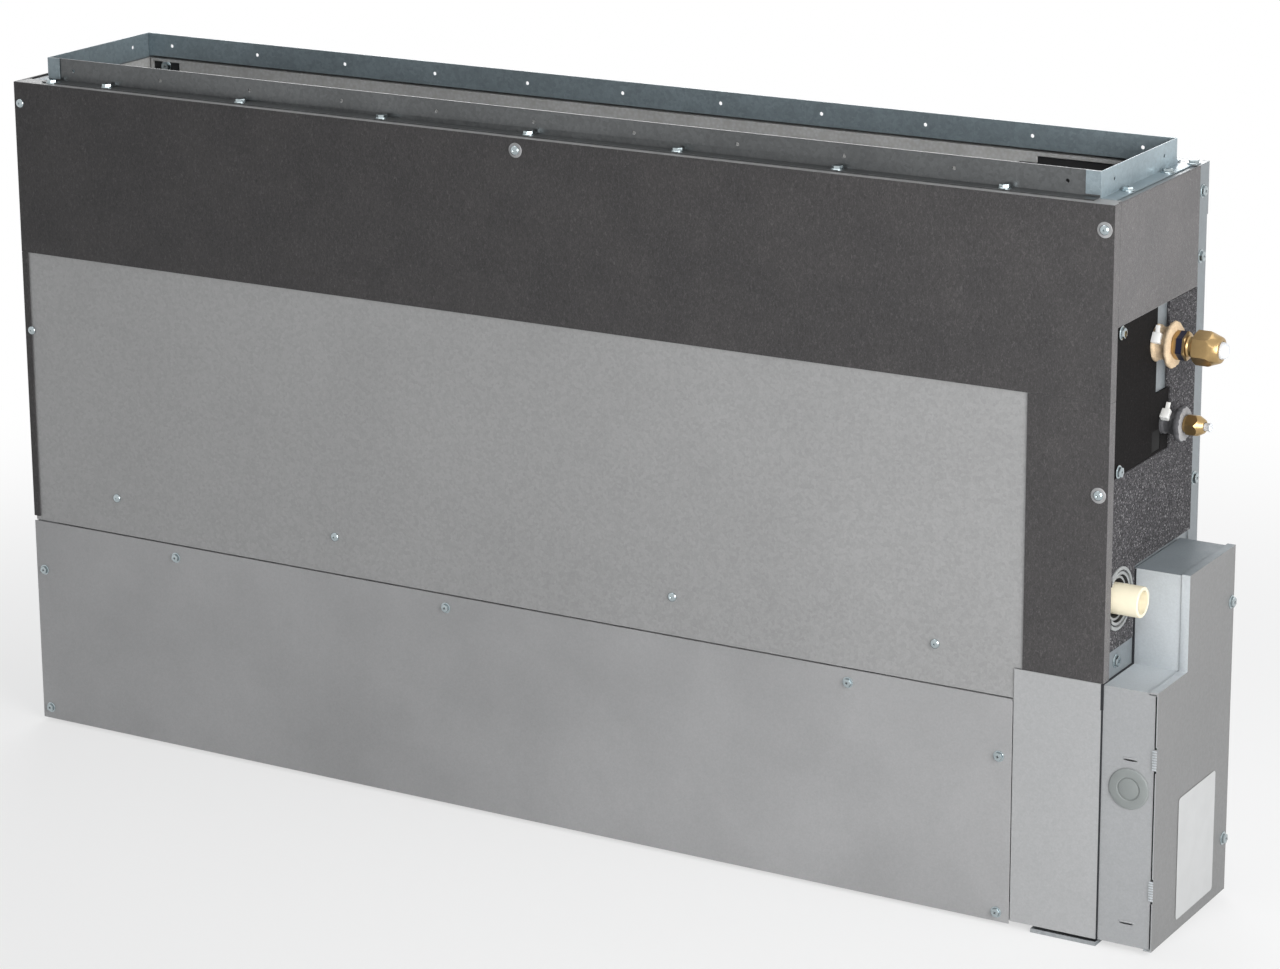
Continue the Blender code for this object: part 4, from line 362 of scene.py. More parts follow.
def fan_wheel(node):
    """Forward-curved blades between two end rings, on a web with a hub."""
    blades, ring_depth = 42, 13
    low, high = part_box(node)
    middle = (low + high) / 2
    width = (high.x - low.x) * 1000
    reach = (high.y - low.y) * 500
    blade = bmesh.new()
    bmesh.ops.create_grid(blade, x_segments=1, y_segments=6, size=0.5)
    for vert in blade.verts:
        share = vert.co.y + 0.5
        lean = 0.34 * share * share - 0.10 * share
        radius = (reach - ring_depth + 12.2 * share) / 1000
        vert.co = (vert.co.x * (width - 3) / 1000, radius * cos(lean), radius * sin(lean))
    bmesh.ops.solidify(blade, geom=blade.faces[:], thickness=0.0009)
    wheel = bmesh.new()
    for number in range(blades):
        copied_in(wheel, blade, Matrix.Rotation(2 * pi * number / blades, 4, "X"))
    blade.free()
    for side in (-1, 1):
        rim = [(side * width / 2, reach), (side * (width / 2 - 2.5), reach),
               (side * (width / 2 - 2.5), reach - ring_depth), (side * width / 2, reach - ring_depth)]
        band = outline_spun(rim, 84)
        copied_in(wheel, band)
        band.free()
    disc = [(-15, 14), (-15, 5.4), (15, 5.4), (15, 14), (2.6, 15.5), (1.3, 20), (1.3, reach - 1),
            (-1.3, reach - 1), (-1.3, 20), (-2.6, 15.5)]
    web = outline_spun(disc, 84)
    copied_in(wheel, web)
    web.free()
    return set_down(wheel, middle)


black_plastic = moulded("black_plastic", (0.030, 0.030, 0.032), 0.45)
white_plastic = moulded("white_plastic", (0.72, 0.73, 0.72), 0.5)
for wheel_node in ("fan_wheel_left", "fan_wheel_right"):
    finished(wheel_node + "_vanes", fan_wheel(wheel_node), [black_plastic],
             [wheel_node], "fan_rotor")
finished("fan_shaft_rod", from_node("fan_shaft"), [turned_metal("ground_steel", (0.50, 0.50, 0.51))],
         ["fan_shaft"], "fan_rotor", 0.0002)
for housing in ("scroll_left", "scroll_right"):
    finished(housing + "_housing", from_node(housing), [white_plastic], [housing],
             edge=0.0004)
motor_paint = moulded("motor_paint", (0.055, 0.057, 0.060), 0.4, 0.10, 20.0)
finished("fan_motor_body", from_node("fan_motor"), [motor_paint], ["fan_motor"], edge=0.0008)
sheet("motor_cradle", casing_zinc)
sheet("fan_deck", casing_zinc)


# The drain: a white foam-lined pan under the coil, a ring let into the side with stepped rims, and a
# glued stub of cream plastic pipe with a square-cut end.
drain_y, drain_z = 27.0, 300.0
pan_white = moulded("pan_white", (0.62, 0.63, 0.62), 0.6)
finished("drain_pan_tray", from_node("drain_pan"), [pan_white], ["drain_pan"], edge=0.0008)
ring_rims = [
    [(0.0, 24.4), (0.0, 27.3), (0.9, 27.4), (1.4, 27.0), (1.4, 24.6)],
    [(-11.0, 20.3), (-11.0, 22.8), (0.5, 23.1), (0.8, 22.8), (0.6, 20.5)],
    [(-11.0, 16.9), (-11.0, 19.0), (-1.7, 19.2), (-1.4, 18.9), (-1.6, 17.1)],
    [(-11.6, 13.9), (-11.6, 22.8), (-9.2, 22.8), (-9.2, 13.9)],
]
ring = bmesh.new()
for rim in ring_rims:
    turned = outline_spun(rim, 64)
    copied_in(ring, turned)
    turned.free()
set_down(ring, at(1140.5, drain_y, drain_z))
# Faces deep inside the ring, at its floor, take a near-black finish: painted shade.
for face in ring.faces:
    face.material_index = 1 if face.calc_center_median().x < at(1138.0, 0, 0).x else 0
trim = bmesh.ops.bisect_plane(ring, geom=ring.verts[:] + ring.edges[:] + ring.faces[:], clear_inner=True,
                              plane_co=at(0, 11.9, 0), plane_no=(0, 1, 0))
bmesh.ops.holes_fill(ring, edges=[part for part in trim["geom_cut"] if isinstance(part, bmesh.types.BMEdge)])
ring_grey = moulded("ring_grey", (0.30, 0.31, 0.31), 0.45)
ring_floor_painted_shade = moulded("ring_floor_painted_shade", (0.05, 0.05, 0.05), 0.8)
finished("drain_ring", ring, [ring_grey, ring_floor_painted_shade], ["drain_socket"], edge=0.0002)
pipe_outline = [(-17.9, 13.4), (21.4, 13.4), (22.0, 13.1), (22.5, 12.5), (22.5, 10.5), (22.2, 10.1),
                (21.4, 10.0), (-17.9, 10.0)]
pipe_cream = moulded("pipe_cream", (0.86, 0.79, 0.60), 0.32, 0.03)
finished("drain_pipe_stub", set_down(outline_spun(pipe_outline, 64), at(1140.5, drain_y, drain_z)),
         [pipe_cream], ["drain_pipe"], smooth=40)


# The coil: thin rippled aluminium fins pressed on copper tubes, between two zinc end plates. The
# return bends stand outside the plates, and the header and both lines leave at the right.
def drawn_copper():
    finish, shader, where = new_finish("drawn_copper", 0.32, 1.0)
    stains = shader_node(finish, "TexNoise", {"Vector": where, "Scale": 60.0, "Detail": 4.0})
    feed(finish, shader, "Base Color", shades(finish, stains.outputs["Fac"], [
        (0.3, (0.45, 0.20, 0.12)), (0.55, (0.74, 0.38, 0.24)), (0.7, (0.82, 0.45, 0.29)),
    ]))
    return finish


def fin_leaf():
    finish, shader, where = new_finish("fin_leaf", 0.36, 0.9)
    ripple = shader_node(finish, "TexNoise", {"Vector": where, "Scale": 90.0, "Detail": 2.0})
    feed(finish, shader, "Base Color", shades(finish, ripple.outputs["Fac"], [
        (0.3, (0.50, 0.54, 0.58)), (0.7, (0.68, 0.71, 0.75)),
    ]))
    relief(finish, shader, ripple.outputs["Fac"], 0.1, 0.0003)
    return finish


copper = drawn_copper()
fin_low, fin_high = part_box("coil_fin_pack")
coil_middle = (fin_low + fin_high) / 2
coil_lean = Matrix.Rotation(radians(-22), 4, "X")
fin_pitch, tube_rows, tube_pitch = 0.0021, 10, 0.0254
leaf = bmesh.new()
bmesh.ops.create_cube(leaf, size=1.0)
bmesh.ops.scale(leaf, verts=leaf.verts, vec=(0.00035, 0.042, 0.270))
bmesh.ops.transform(leaf, verts=leaf.verts, matrix=coil_lean)
set_down(leaf, Vector((fin_low.x + 0.0004, coil_middle.y, coil_middle.z)))
fins = finished("coil_fins", leaf, [fin_leaf()], ["coil_fin_pack"])
stack = fins.modifiers.new("stack", "ARRAY")
stack.use_relative_offset = False
stack.use_constant_offset = True
stack.constant_offset_displace = (fin_pitch, 0, 0)
stack.count = int((fin_high.x - fin_low.x - 0.0008) / fin_pitch)
tubes = bmesh.new()
for row in range(tube_rows):
    for layer in (-0.5, 0.5):
        made = bmesh.ops.create_cone(tubes, cap_ends=True, segments=14, radius1=0.0045, radius2=0.0045,
                                     depth=fin_high.x - fin_low.x)
        rise = (row - (tube_rows - 1) / 2) * tube_pitch
        bmesh.ops.rotate(tubes, verts=made["verts"], matrix=Matrix.Rotation(pi / 2, 3, "Y"))
        bmesh.ops.translate(tubes, verts=made["verts"],
                            vec=coil_lean.to_3x3() @ Vector((0, layer * 0.021, rise)))
finished("coil_tubes", set_down(tubes, coil_middle), [copper])
coil_zinc = zinc_sheet("coil_zinc", 0.40, 0.12, 0.06, 0.36)
for end in ("left", "right"):
    plate = from_node("coil_end_plate_" + end)
    for face in plate.faces:
        across = min(abs(face.normal.x), 1)
        face.material_index = 1 if face.calc_area() < 6e-5 and len(face.verts) == 4 and across < 0.99 else 0
    finished("coil_end_" + end, plate, [coil_zinc, copper], ["coil_end_plate_" + end])
for line in ("coil_header", "gas_pipe", "liquid_pipe"):
    finished(line + "_tube", from_node(line), [copper], [line], smooth=50)


# The liners inside the outlet: boards of expanded white foam moulded in beads, notched at the top for the
# fixings behind. Near-black pads in the notches are a painted shadow of the dark gap there.
def bead_foam(name, tone):
    finish, shader, where = new_finish(name, 0.85)
    beads = shader_node(finish, "TexVoronoi", {"Vector": where, "Scale": 300.0})
    worn = shader_node(finish, "TexNoise", {"Vector": where, "Scale": 30.0, "Detail": 4.0})
    gap = (tone * 0.84, tone * 0.83, tone * 0.80)
    cast = shades(finish, beads.outputs["Distance"], [(0.0, grey(tone)), (0.8, gap)])
    dirt = shades(finish, worn.outputs["Fac"], [(0.35, grey(0.90)), (0.6, grey(1.0))])
    feed(finish, shader, "Base Color", times(finish, cast, dirt))
    relief(finish, shader, beads.outputs["Distance"], -0.3, 0.0008)
    return finish


white_beads = bead_foam("white_bead_foam", 0.74)
finished("rear_liner_board", from_node("rear_liner"), [white_beads], ["rear_liner"], edge=0.0008)
finished("left_liner_board", from_node("left_liner"), [white_beads], ["left_liner"], edge=0.0008)
# Near-black pads laid in the notches: painted shadow.
notch_shadow_black = moulded("notch_shadow_black", (0.016, 0.016, 0.017), 0.8)
for name, low, high in (
    ("left_notch_shadow", at(31, 179.0, 627.4), at(62, 188.6, 635.4)),
    ("right_notch_shadow", at(971.5, 179.0, 605.4), at(989, 188.6, 628.4)),
    ("right_notch_shadow_strip", at(989, 179.0, 605.4), at(1112.8, 188.6, 634.4)),
):
    finished(name, box_shape(low, high, 0.0004), [notch_shadow_black])


# The duct collar: four zinc angles that stand up round the outlet, punched with duct holes. They were
# bent from offcuts with a stronger spangle, and the end ones fold round the corners.
# The front angle takes a darker, more mirror-like copy of the same zinc: painted shade.
front_angle_shade_zinc = zinc_sheet("front_angle_shade_zinc", 0.135, 0.12, 0.22, 0.34, (0.96, 1.0, 1.02), 0.75)
angle_zinc = zinc_sheet("angle_zinc", 0.36, 0.09, 0.20, 0.36, (0.82, 1.0, 1.09), 0.35)
sheet("collar_front", front_angle_shade_zinc, 0.00025)
for side in ("rear", "left", "right"):
    sheet("collar_" + side, angle_zinc, 0.00025)


# The felt skins: pressed dark fibre matting glued over the upper front, the right column, the left
# edge and the top of the right side, against condensation. Pale and dark fibres fleck it.
def pressed_felt(name, tone):
    finish, shader, where = new_finish(name, 0.95)
    lie = shader_node(finish, "Mapping", {"Vector": where, "Scale": (1.0, 1.0, 0.55)})
    fibres = shader_node(finish, "TexNoise", {
        "Vector": lie.outputs["Vector"], "Scale": 560.0, "Detail": 5.0, "Roughness": 0.75, "Distortion": 1.2,
    })
    patches = shader_node(finish, "TexNoise", {"Vector": where, "Scale": 26.0, "Detail": 3.0})
    tone = shades(finish, fibres.outputs["Fac"], [
        (0.30, [tone * part for part in (0.66, 0.63, 0.64)]),
        (0.55, [tone * part for part in (1.03, 0.99, 1.0)]),
        (0.74, [tone * part for part in (1.95, 1.88, 1.88)]),
    ])
    cast = shades(finish, patches.outputs["Fac"], [(0.3, grey(0.93)), (0.7, (1.08, 1.07, 1.06))])
    feed(finish, shader, "Base Color", times(finish, tone, cast))
    relief(finish, shader, fibres.outputs["Fac"], 0.5, 0.0004)
    shader.inputs["Sheen Weight"].default_value = 0.5
    shader.inputs["Sheen Roughness"].default_value = 0.4
    shader.inputs["Specular IOR Level"].default_value = 0.2
    return finish


felt = pressed_felt("pressed_felt", 0.075)
# A lighter copy of the same felt for the faces that point right: painted light.
side_lit_felt = pressed_felt("side_lit_felt", 0.120)
for skin in ("felt_front", "felt_right_column", "felt_left", "felt_right_side"):
    mat = from_node(skin)
    for face in mat.faces:
        face.material_index = 1 if face.normal.x > 0.9 and face.calc_center_median().x > at(1130, 0, 0).x else 0
    finished(skin + "_skin", mat, [felt, side_lit_felt], [skin], edge=0.0009)


# The right side's boards: coarse dark closed-cell foam with pale flecks, and before it a black plate
# with a foam face, cut round the gas line and held by two screws.
def speckled_foam():
    finish, shader, where = new_finish("speckled_foam", 0.9)
    cells = shader_node(finish, "TexVoronoi", {"Vector": where, "Scale": 900.0})
    flecks = shader_node(finish, "SeparateColor", {"Color": cells.outputs["Color"]}).outputs["Green"]
    feed(finish, shader, "Base Color", shades(finish, flecks, [
        (0.0, (0.020, 0.019, 0.021)), (0.55, (0.055, 0.053, 0.057)), (0.90, (0.100, 0.098, 0.103)),
        (0.985, (0.26, 0.255, 0.26)),
    ]))
    relief(finish, shader, cells.outputs["Distance"], 0.7, 0.0008)
    shader.inputs["Specular IOR Level"].default_value = 0.3
    return finish


def black_facing():
    finish, shader, where = new_finish("black_facing", 0.85)
    grain = shader_node(finish, "TexNoise", {"Vector": where, "Scale": 520.0, "Detail": 4.0, "Roughness": 0.7})
    feed(finish, shader, "Base Color", shades(finish, grain.outputs["Fac"], [
        (0.3, (0.004, 0.004, 0.004)), (0.62, (0.010, 0.009, 0.009)), (0.78, (0.040, 0.037, 0.037)),
    ]))
    relief(finish, shader, grain.outputs["Fac"], 0.35, 0.0004)
    shader.inputs["Specular IOR Level"].default_value = 0.12
    return finish


finished("side_foam", from_node("foam_right_side"), [speckled_foam()],
         ["foam_right_side"], edge=0.0003)
pocket = box_shape(at(1138.3, 91.5, 409.5), at(1142, 109.5, 428))
finished("cover_plate", carved(from_node("pipe_cover_plate"), pocket), [black_facing()],
         ["pipe_cover_plate"], edge=0.0003)
# A near-black sheet at the pocket's floor stands for the dark opening under the liquid sleeve: painted shadow.
finished("pocket_shadow_floor", box_shape(at(1138.25, 91.2, 409.2), at(1138.9, 109.8, 428.3), 0.0001),
         [moulded("opening_painted_shadow", (0.002, 0.002, 0.002), 0.9)])


# The pipe connections: each line leaves in a foam sleeve squeezed by a white cable tie, and ends in a
# brass union closed by a flare nut with a white plastic bung.
def soft_foam(name, tone):
    finish, shader, where = new_finish(name, 0.9)
    cells = shader_node(finish, "TexNoise", {"Vector": where, "Scale": 900.0, "Detail": 3.0, "Roughness": 0.7})
    worn = shader_node(finish, "TexNoise", {"Vector": where, "Scale": 70.0, "Detail": 4.0})
    cast = [(0.3, [part * 0.74 for part in tone]), (0.6, list(tone))]
    wear = shades(finish, worn.outputs["Fac"], [(0.35, grey(0.86)), (0.65, grey(1.05))])
    feed(finish, shader, "Base Color", times(finish, shades(finish, cells.outputs["Fac"], cast), wear))
    relief(finish, shader, cells.outputs["Fac"], 0.6, 0.0006)
    return finish


def ragged(shape, centre, amount):
    """Pushes the outer rim of a cut foam sleeve in and out a little."""
    for vert in shape.verts:
        spoke = Vector((0, vert.co.y - centre.y, vert.co.z - centre.z))
        phase = spoke.y * 900 + spoke.z * 1300
        if spoke.length > 0.011:
            vert.co += spoke.normalized() * amount * sin(phase)
            vert.co.x += amount * 0.6 * cos(phase * 0.7)
    return shape


def tie_round(centre, radius, start, lean):
    """A plastic strap sunk into the foam, with its lock block and a cut tail that stands up."""
    strap = outline_spun([(start, radius - 1.7), (start, radius - 0.7), (start + 4.8, radius - 0.7),
                          (start + 4.8, radius - 1.7)], 48)
    lock = box_shape(Vector((start - 1.5, -4.6, radius - 0.9)) / 1000,
                     Vector((start + 6.3, 4.6, radius + 5.2)) / 1000, 0.0007)
    slot = box_shape(Vector((start + 0.6, -5.0, radius + 2.0)) / 1000,
                     Vector((start + 4.2, 5.0, radius + 3.4)) / 1000)
    lock = carved(lock, slot)
    copied_in(strap, lock, Matrix.Rotation(lean, 4, "X"))
    lock.free()
    tail = box_shape(Vector((start + 0.4, 4.0, radius + 2.1)) / 1000,
                     Vector((start + 4.4, 10.5, radius + 3.3)) / 1000, 0.0003)
    for vert in tail.verts:
        vert.co.z += max(vert.co.y - 0.004, 0) * 0.35
    copied_in(strap, tail, Matrix.Rotation(lean, 4, "X"))
    tail.free()
    return set_down(strap, centre)


tie_white = moulded("tie_white", (0.86, 0.86, 0.84), 0.4, 0.03)
bung_white = moulded("bung_white", (0.70, 0.72, 0.75), 0.42)
brass = turned_metal("turned_brass", (0.48, 0.33, 0.155), 0.31, 0.06)
gas = at(1140.5, 99.0, 505.0)
liquid = at(1140.5, 117.0, 432.0)
gas_sleeve = [(-12, 6.7), (-12, 15), (-3, 15.2), (-0.8, 15.9), (0.6, 15.5), (1.4, 13.9), (2.0, 13.5),
              (7.0, 13.5), (7.6, 14.2), (8.4, 15.0), (9.4, 15.4), (10.4, 17.2), (11.4, 19.0),
              (12.8, 19.9), (14.4, 19.8),
              (15.0, 19.2), (15.0, 9.4), (13.8, 6.7)]
beige = soft_foam("beige_foam", (0.74, 0.57, 0.38))
finished("gas_sleeve_foam", ragged(set_down(outline_spun(gas_sleeve, 60), gas), gas, 0.0005), [beige],
         ["gas_sleeve"], smooth=50)
finished("gas_cable_tie", tie_round(gas, 13.5, 1.0, radians(62)), [tie_white],
         ["gas_tie"], edge=0.0002)
liquid_sleeve = [(-12, 3.5), (-12, 10.4), (0, 10.6), (1.4, 10.4), (2.0, 9.5), (6.6, 9.5), (7.4, 10.4),
                 (9.4, 10.9), (11.4, 12.8), (13.0, 14.8), (15.2, 15.6), (17.4, 15.3), (18.0, 14.6), (18.0, 5.0),
                 (17.0, 3.5)]
dark_foam = soft_foam("grey_foam", (0.105, 0.105, 0.112))
cut_foam = soft_foam("cut_foam", (0.36, 0.36, 0.37))
liquid_foam = ragged(set_down(outline_spun(liquid_sleeve, 60), liquid), liquid, 0.0005)
for face in liquid_foam.faces:
    face.material_index = 1 if face.normal.x > 0.8 and face.calc_center_median().x > liquid.x + 0.015 else 0
finished("liquid_sleeve_foam", liquid_foam, [dark_foam, cut_foam], ["liquid_sleeve"], smooth=50)
finished("liquid_cable_tie", tie_round(liquid, 9.5, 1.2, radians(44)), [tie_white],
         ["liquid_tie"], edge=0.0002)
finished("liquid_union_body", from_node("liquid_union"), [brass], ["liquid_union"], edge=0.0002)


def turned_hexagon(centre, corner, turned, outline):
    """Hexagon bar, turned in a lathe down to an outline."""
    start = min(along for along, _ in outline)
    end = max(along for along, _ in outline)
    bar = bmesh.new()
    bmesh.ops.create_cone(bar, cap_ends=True, segments=6, radius1=corner / 1000, radius2=corner / 1000,
                          depth=(end - start + 4) / 1000)
    bmesh.ops.rotate(bar, verts=bar.verts, matrix=Matrix.Rotation(pi / 2, 3, "Y"))
    bmesh.ops.rotate(bar, verts=bar.verts, matrix=Matrix.Rotation(turned, 3, "X"))
    set_down(bar, Vector(((start + end) / 2000, 0, 0)))
    return set_down(carved(bar, outline_spun(outline, 72), "INTERSECT"), centre)


def flare_nut(centre, corner, start, hexagon_end, tail, thread, bore, turned):
    """A nut with eased corners, a tail that narrows, a bore that clears its thread, and a narrower one."""
    thread_radius, thread_end = thread
    eased = [(start, corner - 2.0), (start + 1.1, corner + 0.15), (hexagon_end, corner + 0.15)]
    inside = [(tail[-1][0], bore), (thread_end + 1.0, bore), (thread_end, thread_radius)]
    return turned_hexagon(centre, corner, turned, [(start, thread_radius)] + eased + tail + inside)


band_blue = moulded("band_blue", (0.004, 0.006, 0.024), 0.35)
thread_half_pitch, crest, root = 0.794, 9.5, 8.9
union_outline = [(15.3, 5.1), (15.3, 11.2), (16.2, 12.5), (26.0, 12.5), (27.0, 11.4), (27.6, 9.4), (29.0, 8.7),
                 (31.2, 8.7)]
union_outline += [(32.2 + thread_half_pitch * step, root if step % 2 else crest) for step in range(15)]
union_outline += [(47.0, 5.9), (47.0, 5.1)]
union = turned_hexagon(gas, 12.7, radians(20), union_outline)
for cut in (19.2, 24.6):
    bmesh.ops.bisect_plane(union, geom=union.verts[:] + union.edges[:] + union.faces[:],
                           plane_co=gas + Vector((cut / 1000, 0, 0)), plane_no=(1, 0, 0))
for face in union.faces:
    along = face.calc_center_median().x - gas.x
    out = (face.calc_center_median() - gas).yz.length
    face.material_index = 1 if 0.0192 < along < 0.0246 and out > 0.0095 else 0
finished("gas_union_body", union, [brass, band_blue], ["gas_union"], smooth=24)

gas_tail = [(46.6, 14.6), (49.5, 13.4), (52.5, 12.3), (55.4, 11.3), (56.2, 10.7), (56.5, 9.8)]
gas_nut = flare_nut(gas, 15.0, 33.4, 44.8, gas_tail, (9.9, 48.0), 7.7, radians(20))
finished("gas_flare_nut_hexagon", gas_nut, [brass], ["gas_flare_nut"], "gas_nut", smooth=24)
liquid_tail = [(29.8, 9.3), (32.0, 8.1), (34.0, 7.0), (35.6, 6.1), (36.2, 5.6), (36.4, 5.0)]
liquid_nut = flare_nut(liquid, 9.8, 20.4, 28.8, liquid_tail, (5.95, 33.0), 3.95, radians(48))
finished("liquid_flare_nut_hexagon", liquid_nut, [brass], ["liquid_flare_nut"], "liquid_nut",
         smooth=24)
gas_bung = [(38, 0), (38, 4.9), (47.2, 4.9), (47.7, 7.4), (56.9, 7.4), (59.0, 6.9), (61.0, 5.5),
            (62.4, 3.4), (63.0, 0)]
finished("gas_plug_bung", set_down(outline_spun(gas_bung, 48, ring=False), gas), [bung_white],
         ["gas_plug"], "gas_plug", smooth=40)
liquid_bung = [(27, 0), (27, 2.3), (33, 2.3), (33.6, 3.5), (39.4, 3.3), (40.2, 3.8), (41.4, 3.8),
               (42.0, 3.2), (42.0, 0)]
finished("liquid_plug_bung", set_down(outline_spun(liquid_bung, 40, ring=False), liquid), [bung_white],
         ["liquid_plug"], "liquid_plug", smooth=40)


# The electrical box: a zinc box with a stepped top at the lower right, and a cover whose lips turn
# over its edges. A grey blanking plug closes its cable hole, and a blank white label is on its side.
# The box's zinc in four copies. The lighter one for the shelf, set-back wall and ribbed tabs is painted light.
# The darker ones for the roof and the side are painted shade.
box_zinc = zinc_sheet("box_zinc", 0.40, 0.03, 0.05, 0.40, (0.98, 1.0, 1.02))
box_flank_shade_zinc = zinc_sheet("box_flank_shade_zinc", 0.21, 0.02, 0.05, 0.45, (1.0, 1.0, 1.0))
box_painted_light_zinc = zinc_sheet("box_painted_light_zinc", 0.60, 0.01, 0.16, 0.45, (0.94, 1.0, 1.04))
roof_painted_shade_zinc = zinc_sheet("roof_painted_shade_zinc", 0.27, 0.02, 0.25, 0.60, (0.88, 1.0, 1.08), 0.05)


def box_part(node, cutter):
    """A box sheet, slit by a cutter. Its shelf and set-back wall take a lighter copy of its zinc, painted
    light, and its roof and side take darker copies, painted shade.
    """
    shape = carved(from_node(node), cutter)
    for face in shape.faces:
        middle = face.calc_center_median()
        if face.normal.z > 0.9 and face.calc_area() > 4e-5:
            face.material_index = 1 if middle.z < at(0, 0, 280).z else 2
        if face.normal.y < -0.9 and middle.z > at(0, 0, 233).z:
            face.material_index = 1
        if face.normal.x > 0.9 and middle.x > at(1189.5, 0, 0).x:
            face.material_index = 3
    return finished(node + "_sheet", shape, [box_zinc, box_painted_light_zinc, roof_painted_shade_zinc, box_flank_shade_zinc],
                    [node], edge=0.0003)


def many_boxes(places):
    """Several boxes in one shape, each between two corners."""
    shape = bmesh.new()
    for low, high in places:
        bar = box_shape(at(*low), at(*high))
        copied_in(shape, bar)
        bar.free()
    return shape


front_cuts = many_boxes([((1187.2, 0, 3.2), (1192, 3.1, 229.0)), ((1181.0, 0, 229.4), (1192, 3.1, 230.2))])
for height in (168.8, 22.0):
    made = bmesh.ops.create_cone(front_cuts, cap_ends=True, segments=32, radius1=0.0068, radius2=0.0068,
                                 depth=0.006)
    bmesh.ops.rotate(front_cuts, verts=made["verts"], matrix=Matrix.Rotation(pi / 2, 3, "X"))
    bmesh.ops.scale(front_cuts, verts=made["verts"], vec=(1, 1, 0.11))
    bmesh.ops.translate(front_cuts, verts=made["verts"], vec=at(1166, 2, height))
box_part("electrical_box", front_cuts)
lip_cuts = many_boxes(
    [((1186, -1, low), (1189.02, 1.5, high)) for low, high in ((3.0, 45.0), (66.5, 162.0), (184.0, 230.8))]
    + [((1187.0, -1, middle - 1.1), (1191.5, 2.6, middle + 1.1)) for middle in (45.6, 65.9, 162.6, 183.4)])
box_part("box_cover", lip_cuts)
# The ribbed tabs take the lighter copy of the box's zinc: painted light.
rib_pitch, rib_width = 2.3, 1.3
for name, start in (("upper_ribbed_tab", 164.2), ("lower_ribbed_tab", 47.4)):
    feet = [start + rib_pitch * rib for rib in range(8)]
    ribs = [((1186.2, -0.1, foot), (1190.1, 0.5, foot + rib_width)) for foot in feet]
    finished(name, many_boxes(ribs), [box_painted_light_zinc])
for name, height in (("upper_bridge", 168.8), ("lower_bridge", 22.0)):
    hood = bmesh.new()
    bmesh.ops.create_uvsphere(hood, u_segments=28, v_segments=12, radius=1.0)
    bmesh.ops.scale(hood, verts=hood.verts, vec=(0.0076, 0.0011, 0.0010))
    finished(name, set_down(hood, at(1166, 1.7, height + 1.7)), [box_zinc])
# Near-black strips along the joint between the box and the casing side stand for the shade in that gap: painted
# shadow.
gap_shadow_black = moulded("gap_shadow_black", (0.010, 0.011, 0.014), 0.7)
finished("box_gap_shadow", many_boxes([
    ((1138.95, 0.5, 2.6), (1140.2, 1.55, 209.2)), ((1138.3, 0.1, 208.8), (1140.5, 1.5, 231.9)),
    ((1138.95, 1.4, 230.6), (1140.7, 62.6, 232.0)), ((1138.95, 62.2, 231.0), (1140.8, 63.8, 316.0)),
]), [gap_shadow_black])
plug_grey = moulded("plug_grey", (0.26, 0.28, 0.275), 0.5)
plug_outline = [(0, 0), (0, 12.2), (-4.4, 12.2), (-4.4, 13.9), (0, 13.9), (0, 18.0), (0.5, 18.1), (1.2, 17.6),
                (1.5, 16.9), (1.5, 10.6), (1.2, 10.1), (0.5, 9.9), (0.5, 9.4), (1.1, 9.1), (1.3, 8.6), (1.3, 0)]
plug = outline_spun(plug_outline, 64, ring=False)
bmesh.ops.rotate(plug, verts=plug.verts, matrix=Matrix.Rotation(-pi / 2, 3, "Z"))
finished("blanking_plug_disc", set_down(plug, at(1165.4, 1.3, 143.6)), [plug_grey],
         ["blanking_plug"])
label = box_shape(*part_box("label_plate"))
upright = [edge for edge in label.edges if abs((edge.verts[0].co - edge.verts[1].co).x) > 1e-5]
bmesh.ops.bevel(label, geom=upright, offset=0.0035, segments=6, profile=0.5, affect="EDGES", material=-1)
finished("label_sheet", label, [moulded("label_white", (0.50, 0.505, 0.505), 0.45, 0.03)],
         ["label_plate"], edge=0.0001)
finished("terminal_block_body", from_node("terminal_block"), [white_plastic],
         ["terminal_block"], edge=0.0003)


def circuit():
    finish, shader, where = new_finish("circuit_green", 0.45)
    tracks = shader_node(finish, "TexBrick", {"Vector": where, "Scale": 220.0, "Mortar Size": 0.03})
    feed(finish, shader, "Base Color", times(finish, tracks.outputs["Color"], shades(
        finish, shader_node(finish, "TexNoise", {"Vector": where, "Scale": 300.0}).outputs["Fac"],
        [(0.3, (0.02, 0.14, 0.06)), (0.7, (0.03, 0.24, 0.10))])))
    return finish


finished("control_board_card", from_node("control_board"), [circuit()], ["control_board"],
         edge=0.0002)


# The lower access panel and the bare corner panel: smooth zinc sheets with rolled marks, closing the
# fan section. The access panel comes off with seven screws.
access_zinc = zinc_sheet("access_zinc", 0.41, 0.02, 0.13, 0.40, (1.0, 1.0, 1.01))
strip_zinc = zinc_sheet("strip_zinc", 0.45, 0.03, 0.04, 0.40, (0.99, 1.0, 1.01))
sheet("lower_front_panel", access_zinc)
strip = from_node("right_corner_panel")
for vert in strip.verts:
    if vert.co.x < at(1059, 0, 0).x:
        vert.co.x += 0.0007
for face in strip.faces:
    # The strip's faces that point along X take the darker copy of the zinc: painted shade.
    face.material_index = 1 if abs(face.normal.x) > 0.9 else 0
finished("right_corner_sheet", strip, [strip_zinc, side_shade_zinc],
         ["right_corner_panel"], edge=0.0003)


